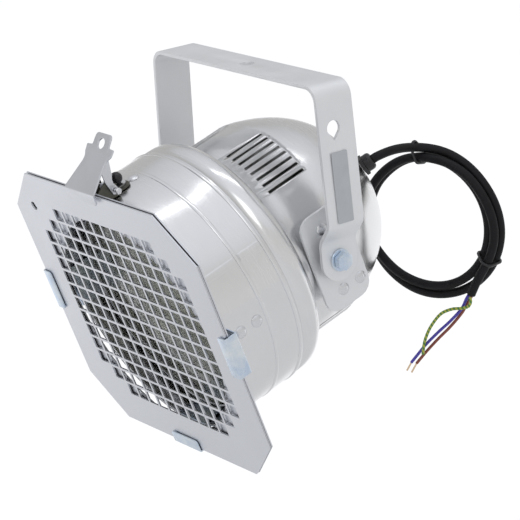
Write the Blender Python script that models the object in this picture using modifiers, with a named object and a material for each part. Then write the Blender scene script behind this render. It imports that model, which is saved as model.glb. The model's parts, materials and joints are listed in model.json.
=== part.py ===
"""Short par can stage light: a hanging yoke that carries a tilting spun-aluminium can.

World frame: metres, +Z up, +Y towards the rear of the can, +X towards its right-hand side
when the lamp faces the viewer. The origin is the centre of the hanging hole, on top of the yoke.
The can has a frame of its own: y = 0 is the front face of the filter frame, y grows towards the
dome, and z = 0 is the turning axis of the shells. It hangs in the pivots, dipped by TILT.
"""
import math

import bmesh
import bpy
from mathutils import Matrix, Vector

# ------------------------------------------------------------------ driving dimensions
TILT = math.radians(17.7)
PIVOT_DROP = 0.1426
PIVOT_Y = 0.1328
PIVOT_Z = -0.0004

GAP = 0.0003
STEPS = 32
SMALL_STEPS = 12

# filter frame with its guard
FRAME_W = 0.2556
FRAME_H = 0.2412
FRAME_CORNER = 0.0368
FRAME_AT = (0.0026, -0.0012)
SHEET = 0.0012
FRAME_SLOT = 0.0013
FRAME_DEPTH = 2 * SHEET + FRAME_SLOT
FRAME_OPENING = 0.0975
OPENING_DROP = 0.0045
HOLE_ROWS = 14
HOLE_PITCH_X = FRAME_W / 18
HOLE_PITCH_Z = FRAME_H / 18.3
HOLE_BAR = 0.0023
HOLES_AT = (0.0046, 0.0000)
CORNER_SKIP = 3
CHANNEL_INSET = 0.0002
CHANNEL_W = 0.0050
SAFETY_HOLE = (-0.0953, 0.0873)
SAFETY_HOLE_R = 0.0040

# shells
WALL = 0.0010
RIM_Y = 0.0105
BARREL_R = 0.1068
BEAD_1_Y = 0.0526
BEAD_2_Y = 0.0774
BEAD_H = 0.0010
BEAD_W = 0.0030
JOINT_Y = 0.0800
SPIGOT_GAP = 0.0008
SPIGOT_DEPTH = 0.0080
RING_R = 0.1063
SHOULDER_R = 0.0120
SHOULDER_END_Y = 0.1040
HOUSING_R = 0.0905
DOME_Y = 0.1540
DOME_LENGTH = 0.0707
DOME_FULLNESS = 1.2
DOME_POWER = 0.29
DOME_ROWS = 9

# ventilation slots
SLOT_FRONT = 0.1163
SLOT_REAR = 0.1530
SLOT_W = 0.0027
SLOT_PITCH = math.radians(4.47)
SLOTS_PER_GROUP = 8
SLOT_GROUPS = (60, 120, 240, 300)

# frame clips and their rivets
CLIP_W = 0.0365
CLIP_LEG_END = 0.0500
CLIP_LIP = 0.0110
CLIP_FRONT = -0.0018
CLIP_SETBACK = 0.0022
CLIP_RIVETS_Y = (0.0268, 0.0430)
CLIP_RIVET_GRIP = 0.0048
RIVET_HEAD_R = 0.0050
RIVET_HEAD_H = 0.0019
RIVET_SHANK_R = 0.0020
RIVET_UPSET = 0.0008

# top latch
LATCH_W = 0.0414
LATCH_BASE = (-0.0022, 0.1222)
LATCH_LIP_Z = 0.1140
LATCH_LEAN = math.radians(33)
LATCH_SLOPE = 0.0330
LATCH_TAB_LEAN = math.radians(43.5)
LATCH_TAB = 0.0160
LATCH_TAB_HOLE_AT = 0.0078
LATCH_TAB_HOLE_R = 0.0043
LATCH_WAIST = [(0.0215, -0.0010), (0.0150, 0.0235), (0.0150, 0.0275), (0.0180, 0.0320),
               (0.0184, 0.0382), (0.0112, 0.0390), (0.0112, 0.0700)]
LATCH_EAR_X = 0.0140
LATCH_EAR = [(0.0215, 0.1265), (0.0200, 0.1225), (0.0200, 0.1195), (0.0212, 0.1170), (0.0222, 0.1140),
             (0.0210, 0.1110), (0.0188, 0.1102), (0.0166, 0.1112), (0.0152, 0.1165), (0.0136, 0.1235)]
LATCH_EAR_TOP = (0.0193, 0.0315)
LATCH_PIN_Y = 0.0190
LATCH_PIN_Z = 0.1140
LATCH_PIN_R = 0.0015
LATCH_PIN_HALF = 0.0205
LATCH_PIN_HEAD_R = 0.0026
LATCH_BRACKET_X = 0.0120
LATCH_KNOB_Y = 0.0307
LATCH_KNOB_R = 0.0050
LATCH_SCREW_R = 0.0020
LATCH_SLOT_Y = (0.0375, 0.0505)
LATCH_SLOT_W = 0.0065

# lamp, sealed beam of 203 mm
LAMP_R = 0.1010
LAMP_RIM_Y = 0.0350
LAMP_CAP_Y = 0.1270
LAMP_CAP_R = 0.0210
LAMP_CAP_LENGTH = 0.0180
LENS_CROWN = 0.0150
LENS_T = 0.0030
PRONG_R = 0.0016
PRONG_X = 0.0080
PRONG_LENGTH = 0.0110
SOCKET_LENGTH = 0.0200

# side brackets and pivots
BRACKET_X = 0.0915
BRACKET_T = 0.0025
BRACKET_Y = (0.1130, 0.1580)
BRACKET_Z = (-0.0450, 0.0410)
BRACKET_CORNER = 0.0120
BRACKET_RIVETS_Y = (0.1325, 0.1505)
BRACKET_RIVETS_Z = (-0.0300, 0.0260)
BRACKET_RIVET_GRIP = 0.0112
BOLT_R = 0.0040
BOLT_HEAD_FLATS = 0.0132
BOLT_HEAD_H = 0.0056
NUT_FLATS = 0.0130
NUT_X = (0.0820, 0.0880)
WASHER_R = 0.0090
WASHER_T = 0.0016
FRICTION_R = 0.0095

# yoke
YOKE_TOP_X = 0.1108
YOKE_SPLAY = 0.048
YOKE_W = 0.0340
YOKE_T = 0.0030
YOKE_BEND = 0.0130
YOKE_END_X = 0.1035
YOKE_STEP_TOP = 0.0312
YOKE_STEP_END = 0.0160
HANGING_HOLE_R = 0.0060
KEYHOLE_R = 0.0062
KEYHOLE_AT = (-0.0030, -0.0305)
KEYHOLE_POINT = 0.0098
LABEL_SIZE = (0.0200, 0.0580)
LABEL_AT = (-0.0030, -0.0805)
LABEL_T = 0.0002

# gland and cable
GLAND_ANGLE = math.radians(28)
GLAND_T = 0.84
GLAND_FOOT = 0.0010
GLAND_NUT = 0.0030
GLAND_NUT_FLATS = 0.0152
GLAND_CAP = 0.0068
GLAND_CAP_R = 0.0072
GLAND_STEM_R = 0.0060
CABLE_R = 0.00375
WIRE_R = 0.0013
TIE_W = 0.0030
TIE_T = 0.0012


# ------------------------------------------------------------------ scene, materials, helpers
def clear_scene():
    for obj in list(bpy.context.scene.objects):
        bpy.data.objects.remove(obj, do_unlink=True)


def new_collection(name):
    collection = bpy.data.collections.new(name)
    bpy.context.scene.collection.children.link(collection)
    return collection


def material(name, colour, roughness, metallic):
    mat = bpy.data.materials.new(name)
    mat.use_nodes = True
    shader = mat.node_tree.nodes["Principled BSDF"]
    shader.inputs["Base Color"].default_value = (*colour, 1.0)
    shader.inputs["Roughness"].default_value = roughness
    shader.inputs["Metallic"].default_value = metallic
    return mat


FINISHES = {
    "polished": ((0.86, 0.86, 0.87), 0.12, 1.0),
    "satin": ((0.72, 0.73, 0.75), 0.35, 0.9),
    "zinc": ((0.62, 0.68, 0.76), 0.30, 1.0),
    "steel": ((0.60, 0.60, 0.62), 0.30, 1.0),
    "white_metal": ((0.80, 0.81, 0.83), 0.40, 0.3),
    "black": ((0.015, 0.015, 0.018), 0.45, 0.0),
    "glass": ((0.35, 0.38, 0.38), 0.08, 0.0),
    "mirror": ((0.80, 0.80, 0.78), 0.08, 1.0),
    "ceramic": ((0.85, 0.83, 0.78), 0.50, 0.0),
    "brass": ((0.75, 0.58, 0.28), 0.30, 1.0),
    "label": ((0.66, 0.68, 0.70), 0.60, 0.0),
    "earth": ((0.30, 0.48, 0.10), 0.45, 0.0),
    "blue": ((0.08, 0.16, 0.55), 0.45, 0.0),
    "brown": ((0.30, 0.10, 0.06), 0.45, 0.0),
}


def add(name, data, finish, parent=None, location=(0, 0, 0), rotation=(0, 0, 0)):
    """Link a new object for one piece of the light, with a material of its own."""
    obj = bpy.data.objects.new(name, data)
    PARTS.objects.link(obj)
    obj.data.materials.append(material(name, *FINISHES[finish]))
    obj.parent = parent
    obj.location = location
    obj.rotation_euler = rotation
    return obj


def turned_mesh(name, outline, closed):
    """A profile of (radius, height) points in the XZ plane, for a Screw modifier."""
    mesh = bpy.data.meshes.new(name)
    count = len(outline)
    edges = [(i, i + 1) for i in range(count - 1)]
    if closed:
        edges.append((count - 1, 0))
    mesh.from_pydata([(r, 0, h) for r, h in outline], edges, [])
    return mesh


def screw(obj, steps):
    modifier = obj.modifiers.new("turn", "SCREW")
    modifier.axis = "Z"
    modifier.angle = 2 * math.pi
    modifier.steps = steps
    modifier.render_steps = steps
    modifier.use_merge_vertices = True
    modifier.merge_threshold = 0.00001


def turned(name, outline, finish, parent=None, location=(0, 0, 0), rotation=(0, 0, 0),
           steps=STEPS, closed=True):
    """A turned piece: the profile's outer side runs from its top to its bottom."""
    obj = add(name, turned_mesh(name, outline, closed), finish, parent, location, rotation)
    screw(obj, steps)
    return obj


def flat_curve(name, outlines, thickness):
    """A flat plate in the XY plane: the first outline is its edge, the others are holes."""
    curve = bpy.data.curves.new(name, "CURVE")
    curve.dimensions = "2D"
    curve.fill_mode = "BOTH"
    curve.extrude = thickness / 2
    for outline in outlines:
        spline = curve.splines.new("POLY")
        spline.points.add(len(outline) - 1)
        for point, (x, y) in zip(spline.points, outline):
            point.co = (x, y, 0, 1)
        spline.use_cyclic_u = True
    return curve


def curve_to_mesh(name, curve, matrix):
    """The welded mesh of a curve, placed by a matrix."""
    holder = bpy.data.objects.new(name, curve)
    bpy.context.scene.collection.objects.link(holder)
    graph = bpy.context.evaluated_depsgraph_get()
    mesh = bpy.data.meshes.new_from_object(holder.evaluated_get(graph))
    bpy.data.objects.remove(holder)
    mesh.name = name
    bm = bmesh.new()
    bm.from_mesh(mesh)
    bmesh.ops.remove_doubles(bm, verts=bm.verts, dist=0.000001)
    bmesh.ops.recalc_face_normals(bm, faces=bm.faces)
    bmesh.ops.transform(bm, matrix=matrix, verts=bm.verts)
    bm.to_mesh(mesh)
    bm.free()
    return mesh


def plate_mesh(name, outlines, thickness, matrix=Matrix.Identity(4)):
    return curve_to_mesh(name, flat_curve(name, outlines, thickness), matrix)


def tube(name, points, radius, finish, parent=None, sides=2):
    """A cable or wire: a polyline with a round section and closed ends."""
    curve = bpy.data.curves.new(name, "CURVE")
    curve.dimensions = "3D"
    curve.bevel_depth = radius
    curve.bevel_resolution = sides
    curve.use_fill_caps = True
    spline = curve.splines.new("POLY")
    spline.points.add(len(points) - 1)
    for point, co in zip(spline.points, points):
        point.co = (*co, 1)
    return add(name, curve, finish, parent)


def cylinder_mesh(name, radius, low, high, steps=SMALL_STEPS):
    """A solid cylinder along Z between two heights."""
    bm = bmesh.new()
    place = Matrix.Translation((0, 0, (low + high) / 2))
    bmesh.ops.create_cone(bm, cap_ends=True, segments=steps, radius1=radius, radius2=radius,
                          depth=high - low, matrix=place)
    mesh = bpy.data.meshes.new(name)
    bm.to_mesh(mesh)
    bm.free()
    return mesh


def cutter(name, mesh, parent=None, location=(0, 0, 0), rotation=(0, 0, 0)):
    obj = bpy.data.objects.new(name, mesh)
    CUTTERS.objects.link(obj)
    obj.parent = parent
    obj.location = location
    obj.rotation_euler = rotation
    obj.hide_render = True
    obj.display_type = "WIRE"
    return obj


def boolean(obj, other, operation="DIFFERENCE"):
    modifier = obj.modifiers.new(operation.lower(), "BOOLEAN")
    modifier.operation = operation
    modifier.object = other
    modifier.solver = "EXACT"


def circle(radius, steps=STEPS, centre=(0, 0), start=0.0):
    return [(centre[0] + radius * math.cos(start + 2 * math.pi * i / steps),
             centre[1] + radius * math.sin(start + 2 * math.pi * i / steps)) for i in range(steps)]


def arc(centre, radius, start, end, count):
    """Points on an arc, with its angles in degrees."""
    angles = [math.radians(start + (end - start) * i / count) for i in range(count + 1)]
    return [(centre[0] + radius * math.cos(a), centre[1] + radius * math.sin(a)) for a in angles]


def rounded_box(x0, x1, y0, y1, radius, count=3):
    return (arc((x1 - radius, y1 - radius), radius, 0, 90, count)
            + arc((x0 + radius, y1 - radius), radius, 90, 180, count)
            + arc((x0 + radius, y0 + radius), radius, 180, 270, count)
            + arc((x1 - radius, y0 + radius), radius, 270, 360, count))


def bent_strip(path, thickness):
    """The closed outline of a bent sheet, on the left of a path of 2D points."""
    offset = []
    for i, point in enumerate(path):
        before = Vector(path[max(i - 1, 0)])
        after = Vector(path[min(i + 1, len(path) - 1)])
        here = Vector(point)
        sides = [(b - a).normalized() for a, b in ((before, here), (here, after)) if (b - a).length > 0]
        normals = [Vector((-s.y, s.x)) for s in sides]
        middle = sum(normals, Vector((0, 0))).normalized()
        offset.append(tuple(here + middle * thickness / middle.dot(normals[0])))
    return list(path) + offset[::-1]


ALONG_Y = (-math.pi / 2, 0, 0)
TO_XZ = Matrix.Rotation(math.pi / 2, 4, "X")
TO_YZ = Matrix(((0, 0, 1, 0), (1, 0, 0, 0), (0, 1, 0, 0), (0, 0, 0, 1)))

clear_scene()
PARTS = new_collection("par_can")
CUTTERS = new_collection("cutters")


# ------------------------------------------------------------------ frames
def can_frames():
    """The tilt axis in the pivots, and the can's own frame below it."""
    axis = bpy.data.objects.new("tilt_axis", None)
    axis.location = (0, 0, -PIVOT_DROP)
    axis.rotation_euler = (TILT, 0, 0)
    origin = bpy.data.objects.new("can_origin", None)
    origin.parent = axis
    origin.location = (0, -PIVOT_Y, -PIVOT_Z)
    for obj in (axis, origin):
        PARTS.objects.link(obj)
    return axis, origin


TILT_AXIS, CAN = can_frames()


# ------------------------------------------------------------------ filter frame
def frame_outline(inset=0.0):
    w = FRAME_W / 2 - inset
    h = FRAME_H / 2 - inset
    c = FRAME_CORNER - inset * (2 - math.sqrt(2))
    corners = [(w, h - c), (w - c, h), (c - w, h), (-w, h - c), (-w, c - h), (c - w, -h),
               (w - c, -h), (w, c - h)]
    return [(x + FRAME_AT[0], z + FRAME_AT[1]) for x, z in corners]


def guard_holes():
    """Square holes on a grid that leaves out the corners."""
    holes = []
    half = (HOLE_ROWS - 1) / 2
    wide = (HOLE_PITCH_X - HOLE_BAR) / 2
    high = (HOLE_PITCH_Z - HOLE_BAR) / 2
    for i in range(HOLE_ROWS):
        for j in range(HOLE_ROWS):
            to_corner = min(i, HOLE_ROWS - 1 - i) + min(j, HOLE_ROWS - 1 - j)
            if to_corner < CORNER_SKIP - 1:
                continue
            x = HOLES_AT[0] + (i - half) * HOLE_PITCH_X
            z = HOLES_AT[1] + (j - half) * HOLE_PITCH_Z
            holes.append([(x - wide, z - high), (x + wide, z - high), (x + wide, z + high),
                          (x - wide, z + high)])
    return holes


def filter_frame():
    """A perforated guard sheet, a plain back sheet and a strip that keeps them apart."""
    safety = circle(SAFETY_HOLE_R, SMALL_STEPS, SAFETY_HOLE)
    guard = plate_mesh("guard_sheet", [frame_outline(), safety] + guard_holes(), SHEET, TO_XZ)
    add("guard_sheet", guard, "satin", CAN, (0, SHEET / 2, 0))

    opening = circle(FRAME_OPENING, STEPS, (FRAME_AT[0], FRAME_AT[1] - OPENING_DROP))
    back = plate_mesh("frame_back_sheet", [frame_outline(), opening, safety], SHEET, TO_XZ)
    add("frame_back_sheet", back, "satin", CAN, (0, FRAME_DEPTH - SHEET / 2, 0))

    outer = frame_outline(CHANNEL_INSET)
    inner = frame_outline(CHANNEL_INSET + CHANNEL_W)
    band = outer[3:] + outer[:1] + inner[:1] + inner[:2:-1]
    strip = plate_mesh("frame_channel", [band], FRAME_SLOT - 2 * GAP, TO_XZ)
    add("frame_channel", strip, "satin", CAN, (0, SHEET + FRAME_SLOT / 2, 0))


# ------------------------------------------------------------------ shells
def dome_radius(t, inset=0.0):
    return (HOUSING_R - inset) * (1 - t ** DOME_FULLNESS) ** DOME_POWER


def dome_points(inset=0.0):
    """The dome from its crown to where it meets the vented cylinder."""
    points = []
    for i in range(DOME_ROWS, -1, -1):
        t = math.sin(math.pi / 2 * i / DOME_ROWS)
        points.append((dome_radius(t, inset), DOME_Y + (DOME_LENGTH - inset) * t))
    return points


def bead(radius, y):
    """A low half-round bead in the wall, seen from the rear forwards."""
    return [(radius, y + BEAD_W / 2), (radius + BEAD_H, y + BEAD_W / 6),
            (radius + BEAD_H, y - BEAD_W / 6), (radius, y - BEAD_W / 2)]


def front_barrel():
    outer = ([(BARREL_R, JOINT_Y)] + bead(BARREL_R, BEAD_2_Y) + bead(BARREL_R, BEAD_1_Y)
             + [(BARREL_R, RIM_Y)])
    inner = [(BARREL_R - WALL, RIM_Y), (BARREL_R - WALL, JOINT_Y)]
    return turned("front_barrel", outer + inner, "polished", CAN, rotation=ALONG_Y)


def rear_housing():
    """Ring, rounded shoulder, vented cylinder and dome, spun as one shell."""
    spigot_r = BARREL_R - WALL - SPIGOT_GAP
    spigot_y = JOINT_Y - SPIGOT_DEPTH
    shoulder = arc((RING_R - SHOULDER_R, SHOULDER_END_Y - SHOULDER_R), SHOULDER_R, 90, 0, 4)
    outer = (dome_points() + [(HOUSING_R, SHOULDER_END_Y + 0.0015)] + shoulder
             + [(RING_R, JOINT_Y + GAP), (spigot_r, JOINT_Y + GAP), (spigot_r, spigot_y)])
    shoulder_in = arc((RING_R - SHOULDER_R, SHOULDER_END_Y - SHOULDER_R), SHOULDER_R - WALL, 0, 90, 4)
    inner = ([(spigot_r - WALL, spigot_y), (spigot_r - WALL, JOINT_Y + 2 * WALL)] + shoulder_in
             + [(HOUSING_R - WALL, SHOULDER_END_Y - WALL)] + dome_points(WALL)[::-1])
    return turned("rear_housing", outer + inner, "polished", CAN, rotation=ALONG_Y, closed=False)


def slot_cutter():
    """One body for every ventilation slot: thin radial bars in groups round the cylinder."""
    bm = bmesh.new()
    middle = (SLOT_FRONT + SLOT_REAR) / 2
    half = (SLOTS_PER_GROUP - 1) / 2
    for group in SLOT_GROUPS:
        for i in range(SLOTS_PER_GROUP):
            angle = math.radians(group) + (i - half) * SLOT_PITCH
            size = Matrix.Diagonal((0.012, SLOT_REAR - SLOT_FRONT, SLOT_W, 1))
            place = (Matrix.Rotation(-angle, 4, "Y") @ Matrix.Translation((HOUSING_R, middle, 0)))
            bmesh.ops.create_cube(bm, size=1, matrix=place @ size)
    mesh = bpy.data.meshes.new("slot_cutter")
    bm.to_mesh(mesh)
    bm.free()
    return cutter("slot_cutter", mesh, CAN)


# ------------------------------------------------------------------ rivets
def rivet_outline(grip):
    """A round-headed rivet along Z: the head sits on z = 0 and the shank goes down."""
    head = [(0, RIVET_HEAD_H), (RIVET_HEAD_R * 0.6, RIVET_HEAD_H * 0.85), (RIVET_HEAD_R, GAP),
            (RIVET_SHANK_R, GAP)]
    end = -grip - GAP
    foot = [(RIVET_SHANK_R, end), (RIVET_SHANK_R * 1.6, end), (RIVET_SHANK_R * 1.6, end - RIVET_UPSET),
            (0, end - RIVET_UPSET)]
    return head + foot


def rivet(name, location, rotation, grip, hosts):
    """A rivet in the can's frame, with a clearance hole in every sheet that it holds."""
    turned(name, rivet_outline(grip), "steel", CAN, location, rotation, steps=8, closed=False)
    drill = cylinder_mesh(name + "_drill", RIVET_SHANK_R + GAP, -grip - 0.004, 0.003, 8)
    tool = cutter(name + "_drill", drill, CAN, location, rotation)
    for host in hosts:
        boolean(host, tool)


# ------------------------------------------------------------------ clips
def clip(name, angle, reach):
    """A bent steel clip that holds the frame: its leg is riveted inside the barrel.

    angle turns it round the can's axis and reach is the distance from that axis to the frame's edge.
    """
    leg_x = BARREL_R - WALL - CLIP_SETBACK
    edge_x = reach + CLIP_SETBACK
    back_y = RIM_Y - 0.0004
    path = [(leg_x, CLIP_LEG_END), (leg_x, back_y), (edge_x, back_y), (edge_x, CLIP_FRONT),
            (edge_x - CLIP_LIP, CLIP_FRONT)]
    outline = bent_strip(path, -SHEET)
    mesh = plate_mesh(name, [outline], CLIP_W)
    obj = add(name, mesh, "zinc", CAN, rotation=(0, -math.radians(angle), 0))
    for i, y in enumerate(CLIP_RIVETS_Y):
        a = math.radians(angle)
        place = (BARREL_R * math.cos(a), y, BARREL_R * math.sin(a))
        rivet(f"{name}_rivet_{i + 1}", place, (0, math.pi / 2 - a, 0), CLIP_RIVET_GRIP, [obj, BARREL])


# ------------------------------------------------------------------ latch
def latch_point(along, above=0.0):
    """A point on the sloping sheet of the latch, as (y, z) in the can's frame."""
    lean = Vector((math.cos(LATCH_LEAN), math.sin(LATCH_LEAN)))
    normal = Vector((-lean.y, lean.x))
    return Vector(LATCH_BASE) + lean * along + normal * above


def latch_tab_point(along):
    """A point on the finger tab of the latch, as (y, z) in the can's frame."""
    lean = Vector((math.cos(LATCH_TAB_LEAN), math.sin(LATCH_TAB_LEAN)))
    return latch_point(LATCH_SLOPE) + lean * along


def latch_flap():
    """A hooked sheet with two ears on the pin and a finger tab with a hole."""
    lip = (LATCH_BASE[0], LATCH_LIP_Z)
    path = [lip, tuple(latch_point(0)), tuple(latch_point(LATCH_SLOPE)), tuple(latch_tab_point(LATCH_TAB))]
    from_pin = Matrix.Translation((0, -LATCH_PIN_Y, -LATCH_PIN_Z))
    body = plate_mesh("latch_flap", [bent_strip(path, SHEET)], LATCH_W, from_pin @ TO_YZ)
    flap = add("latch_flap", body, "satin", LATCH)

    waste = LATCH_WAIST + [(LATCH_W, LATCH_WAIST[-1][1]), (LATCH_W, LATCH_WAIST[0][1])]
    base = latch_point(0)
    for side in (-1, 1):
        outline = [(side * x, s) for x, s in waste]
        cut = plate_mesh(f"latch_waist_{side}", [outline], 0.030, Matrix.Rotation(LATCH_LEAN, 4, "X"))
        place = (0, base.x - LATCH_PIN_Y, base.y - LATCH_PIN_Z)
        boolean(flap, cutter(f"latch_waist_{side}", cut, LATCH, place))
    hole_at = latch_tab_point(LATCH_TAB_HOLE_AT)
    hole = cylinder_mesh("latch_tab_hole", LATCH_TAB_HOLE_R, -0.004, 0.004, 16)
    place = (0, hole_at.x - LATCH_PIN_Y, hole_at.y - LATCH_PIN_Z)
    boolean(flap, cutter("latch_tab_hole", hole, LATCH, place, (LATCH_TAB_LEAN, 0, 0)))

    ear = [tuple(latch_point(along, SHEET / 2)) for along in LATCH_EAR_TOP] + LATCH_EAR
    for side in (-1, 1):
        move = Matrix.Translation((side * LATCH_EAR_X, -LATCH_PIN_Y, -LATCH_PIN_Z))
        mesh = plate_mesh(f"latch_ear_{side}", [ear], SHEET, move @ TO_YZ)
        boolean(flap, cutter(f"latch_ear_{side}", mesh, LATCH), "UNION")
    pin_hole = cylinder_mesh("latch_pin_hole", LATCH_PIN_R + GAP, -0.030, 0.030)
    boolean(flap, cutter("latch_pin_hole", pin_hole, LATCH, rotation=(0, math.pi / 2, 0)))


def latch_hardware():
    """The bracket on the barrel, its pin, the black-headed screw with washer and the spring."""
    floor_z = BARREL_R + 0.0004
    ear_top = LATCH_PIN_Z + 0.0032
    half = LATCH_BRACKET_X
    section = bent_strip([(-half, ear_top), (-half, floor_z), (half, floor_z), (half, ear_top)], SHEET)
    ears = plate_mesh("latch_bracket", [section], 0.0080, TO_XZ)
    bracket = add("latch_bracket", ears, "satin", CAN, (0, LATCH_PIN_Y, 0))
    tongue = plate_mesh("latch_tongue", [rounded_box(-0.0090, 0.0090, -0.0020, 0.0190, 0.0060)], SHEET)
    boolean(bracket, cutter("latch_tongue", tongue, CAN, (0, LATCH_PIN_Y, floor_z + SHEET / 2)), "UNION")
    hole = cylinder_mesh("latch_bracket_hole", LATCH_PIN_R + GAP, -0.030, 0.030)
    boolean(bracket, cutter("latch_bracket_hole", hole, CAN, (0, LATCH_PIN_Y, LATCH_PIN_Z),
                            (0, math.pi / 2, 0)))
    screw_hole = cylinder_mesh("latch_screw_hole", LATCH_SCREW_R + GAP, -0.006, 0.006)
    tool = cutter("latch_screw_hole", screw_hole, CAN, (0, LATCH_KNOB_Y, BARREL_R))
    boolean(bracket, tool)
    boolean(BARREL, tool)
    half_w = LATCH_SLOT_W / 2
    outline = rounded_box(-half_w, half_w, LATCH_SLOT_Y[0], LATCH_SLOT_Y[1], half_w - GAP, 4)
    slot = plate_mesh("latch_slot", [outline], 0.012)
    boolean(BARREL, cutter("latch_slot", slot, CAN, (0, 0, BARREL_R)))

    end = LATCH_PIN_HALF
    inner_end = LATCH_PIN_HALF - 0.0015
    pin = [(0, end), (LATCH_PIN_HEAD_R, end), (LATCH_PIN_HEAD_R, inner_end), (LATCH_PIN_R, inner_end),
           (LATCH_PIN_R, -inner_end), (LATCH_PIN_HEAD_R, -inner_end), (LATCH_PIN_HEAD_R, -end), (0, -end)]
    turned("latch_pin", pin, "steel", CAN, (0, LATCH_PIN_Y, LATCH_PIN_Z), (0, math.pi / 2, 0),
           SMALL_STEPS, False)

    washer_z = floor_z + SHEET + GAP
    bore = LATCH_SCREW_R + GAP
    ring = [(0.0060, 0.0010), (0.0060, 0), (bore, 0), (bore, 0.0010)]
    turned("latch_washer", ring, "steel", CAN, (0, LATCH_KNOB_Y, washer_z), steps=SMALL_STEPS)
    ball = arc((0, LATCH_KNOB_R), LATCH_KNOB_R, 90, -60, 6)
    stem = [(ball[-1][0], GAP), (LATCH_SCREW_R, GAP), (LATCH_SCREW_R, -0.0080), (0, -0.0080)]
    knob = [(0, ball[0][1])] + ball[1:] + stem
    turned("latch_knob", knob, "black", CAN, (0, LATCH_KNOB_Y, washer_z + 0.0010), steps=SMALL_STEPS,
           closed=False)

    turns = 4
    per_turn = 8
    radius = 0.0027
    lead = 0.0013
    coil = []
    for i in range(turns * per_turn + 1):
        angle = 2 * math.pi * i / per_turn + math.pi / 3
        coil.append(((i / per_turn - turns / 2) * lead, radius * math.cos(angle),
                     radius * math.sin(angle)))
    start = [(coil[0][0], coil[0][1] + 0.0050, coil[0][2] + 0.0020)]
    end = [(coil[-1][0], coil[-1][1] + 0.0070, coil[-1][2] + 0.0045)]
    tube("latch_spring", start + coil + end, 0.00045, "steel", LATCH, sides=0)


# ------------------------------------------------------------------ lamp and its holder
def lamp():
    """A sealed-beam lamp: domed lens, deep reflector, ceramic cap and two prongs."""
    crown = LAMP_RIM_Y - LENS_CROWN
    lens_front = [(0, crown), (0.0500, crown + 0.0025), (0.0850, crown + 0.0080),
                  (LAMP_R, LAMP_RIM_Y - LENS_T)]
    lens_back = [(r, y + LENS_T) for r, y in lens_front[:-1]] + [(0.0960, LAMP_RIM_Y), (LAMP_R, LAMP_RIM_Y)]
    lens = lens_back + lens_front[::-1]
    turned("lamp_lens", lens, "glass", CAN, rotation=ALONG_Y, steps=24, closed=False)

    depth = LAMP_CAP_Y - LAMP_RIM_Y - 0.0020
    rows = 6
    bowl = []
    for i in range(rows + 1):
        radius = LAMP_CAP_R * 0.9 + (0.0970 - LAMP_CAP_R * 0.9) * i / rows
        share = (radius / 0.0970) ** 2
        bowl.append((radius, LAMP_CAP_Y - depth * (share - 0.04) / 0.96))
    rim_y = LAMP_RIM_Y + GAP
    outer = bowl + [(LAMP_R, rim_y + 0.0030), (LAMP_R, rim_y)]
    inner = [(r - 0.0022, y - 0.0012) for r, y in bowl[::-1]]
    inner[0] = (0.0950, rim_y)
    turned("lamp_reflector", outer + inner, "mirror", CAN, rotation=ALONG_Y, steps=24)

    cap_front = LAMP_CAP_Y + GAP
    cap_rear = cap_front + LAMP_CAP_LENGTH
    cap = [(0, cap_rear), (LAMP_CAP_R, cap_rear), (LAMP_CAP_R, cap_front), (0, cap_front)]
    turned("lamp_cap", cap, "ceramic", CAN, rotation=ALONG_Y, steps=SMALL_STEPS, closed=False)
    prong_y = cap_rear + GAP
    for i, x in enumerate((-PRONG_X, PRONG_X)):
        mesh = cylinder_mesh(f"lamp_prong_{i + 1}", PRONG_R, prong_y, prong_y + PRONG_LENGTH, 8)
        add(f"lamp_prong_{i + 1}", mesh, "brass", CAN, (x, 0, 0), ALONG_Y)

    socket_y = prong_y + 0.0010
    outline = rounded_box(-0.0190, 0.0190, -0.0120, 0.0120, 0.0050)
    forward = Matrix.Translation((0, 0, SOCKET_LENGTH / 2))
    body = plate_mesh("lamp_socket", [outline], SOCKET_LENGTH, forward)
    socket = add("lamp_socket", body, "ceramic", CAN, (0, socket_y, 0), ALONG_Y)
    for i, x in enumerate((-PRONG_X, PRONG_X)):
        well = cylinder_mesh(f"socket_well_{i + 1}", PRONG_R + 0.0004, -0.002, PRONG_LENGTH + 0.0005, 8)
        boolean(socket, cutter(f"socket_well_{i + 1}", well, CAN, (x, socket_y, 0), ALONG_Y))

    seat_y = LAMP_RIM_Y + 0.0044
    seat_r = BARREL_R - WALL - SPIGOT_GAP
    seat = [(seat_r, seat_y + 0.0080), (seat_r, seat_y), (0.0985, seat_y), (0.0985, seat_y + WALL),
            (seat_r - WALL, seat_y + WALL), (seat_r - WALL, seat_y + 0.0080)]
    ring = turned("lamp_seat_ring", seat, "satin", CAN, rotation=ALONG_Y)
    notch_mesh = bpy.data.meshes.new("seat_notches")
    bm = bmesh.new()
    for angle in (0, 180, 270):
        size = Matrix.Diagonal((0.0120, 0.0160, CLIP_W + 0.0030, 1))
        place = (Matrix.Rotation(-math.radians(angle), 4, "Y")
                 @ Matrix.Translation((BARREL_R - 0.0020, seat_y + 0.0040, 0)))
        bmesh.ops.create_cube(bm, size=1, matrix=place @ size)
    bm.to_mesh(notch_mesh)
    bm.free()
    boolean(ring, cutter("seat_notches", notch_mesh, CAN))

    wire = [(0.0994 + 0.0011 * math.cos(a), LAMP_RIM_Y - 0.0050 + 0.0011 * math.sin(a))
            for a in [math.radians(90 - 60 * i) for i in range(6)]]
    turned("lamp_retaining_ring", wire, "steel", CAN, rotation=ALONG_Y)


# ------------------------------------------------------------------ side brackets, pivots and yoke
def side_of(x):
    return "left" if x < 0 else "right"


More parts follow.
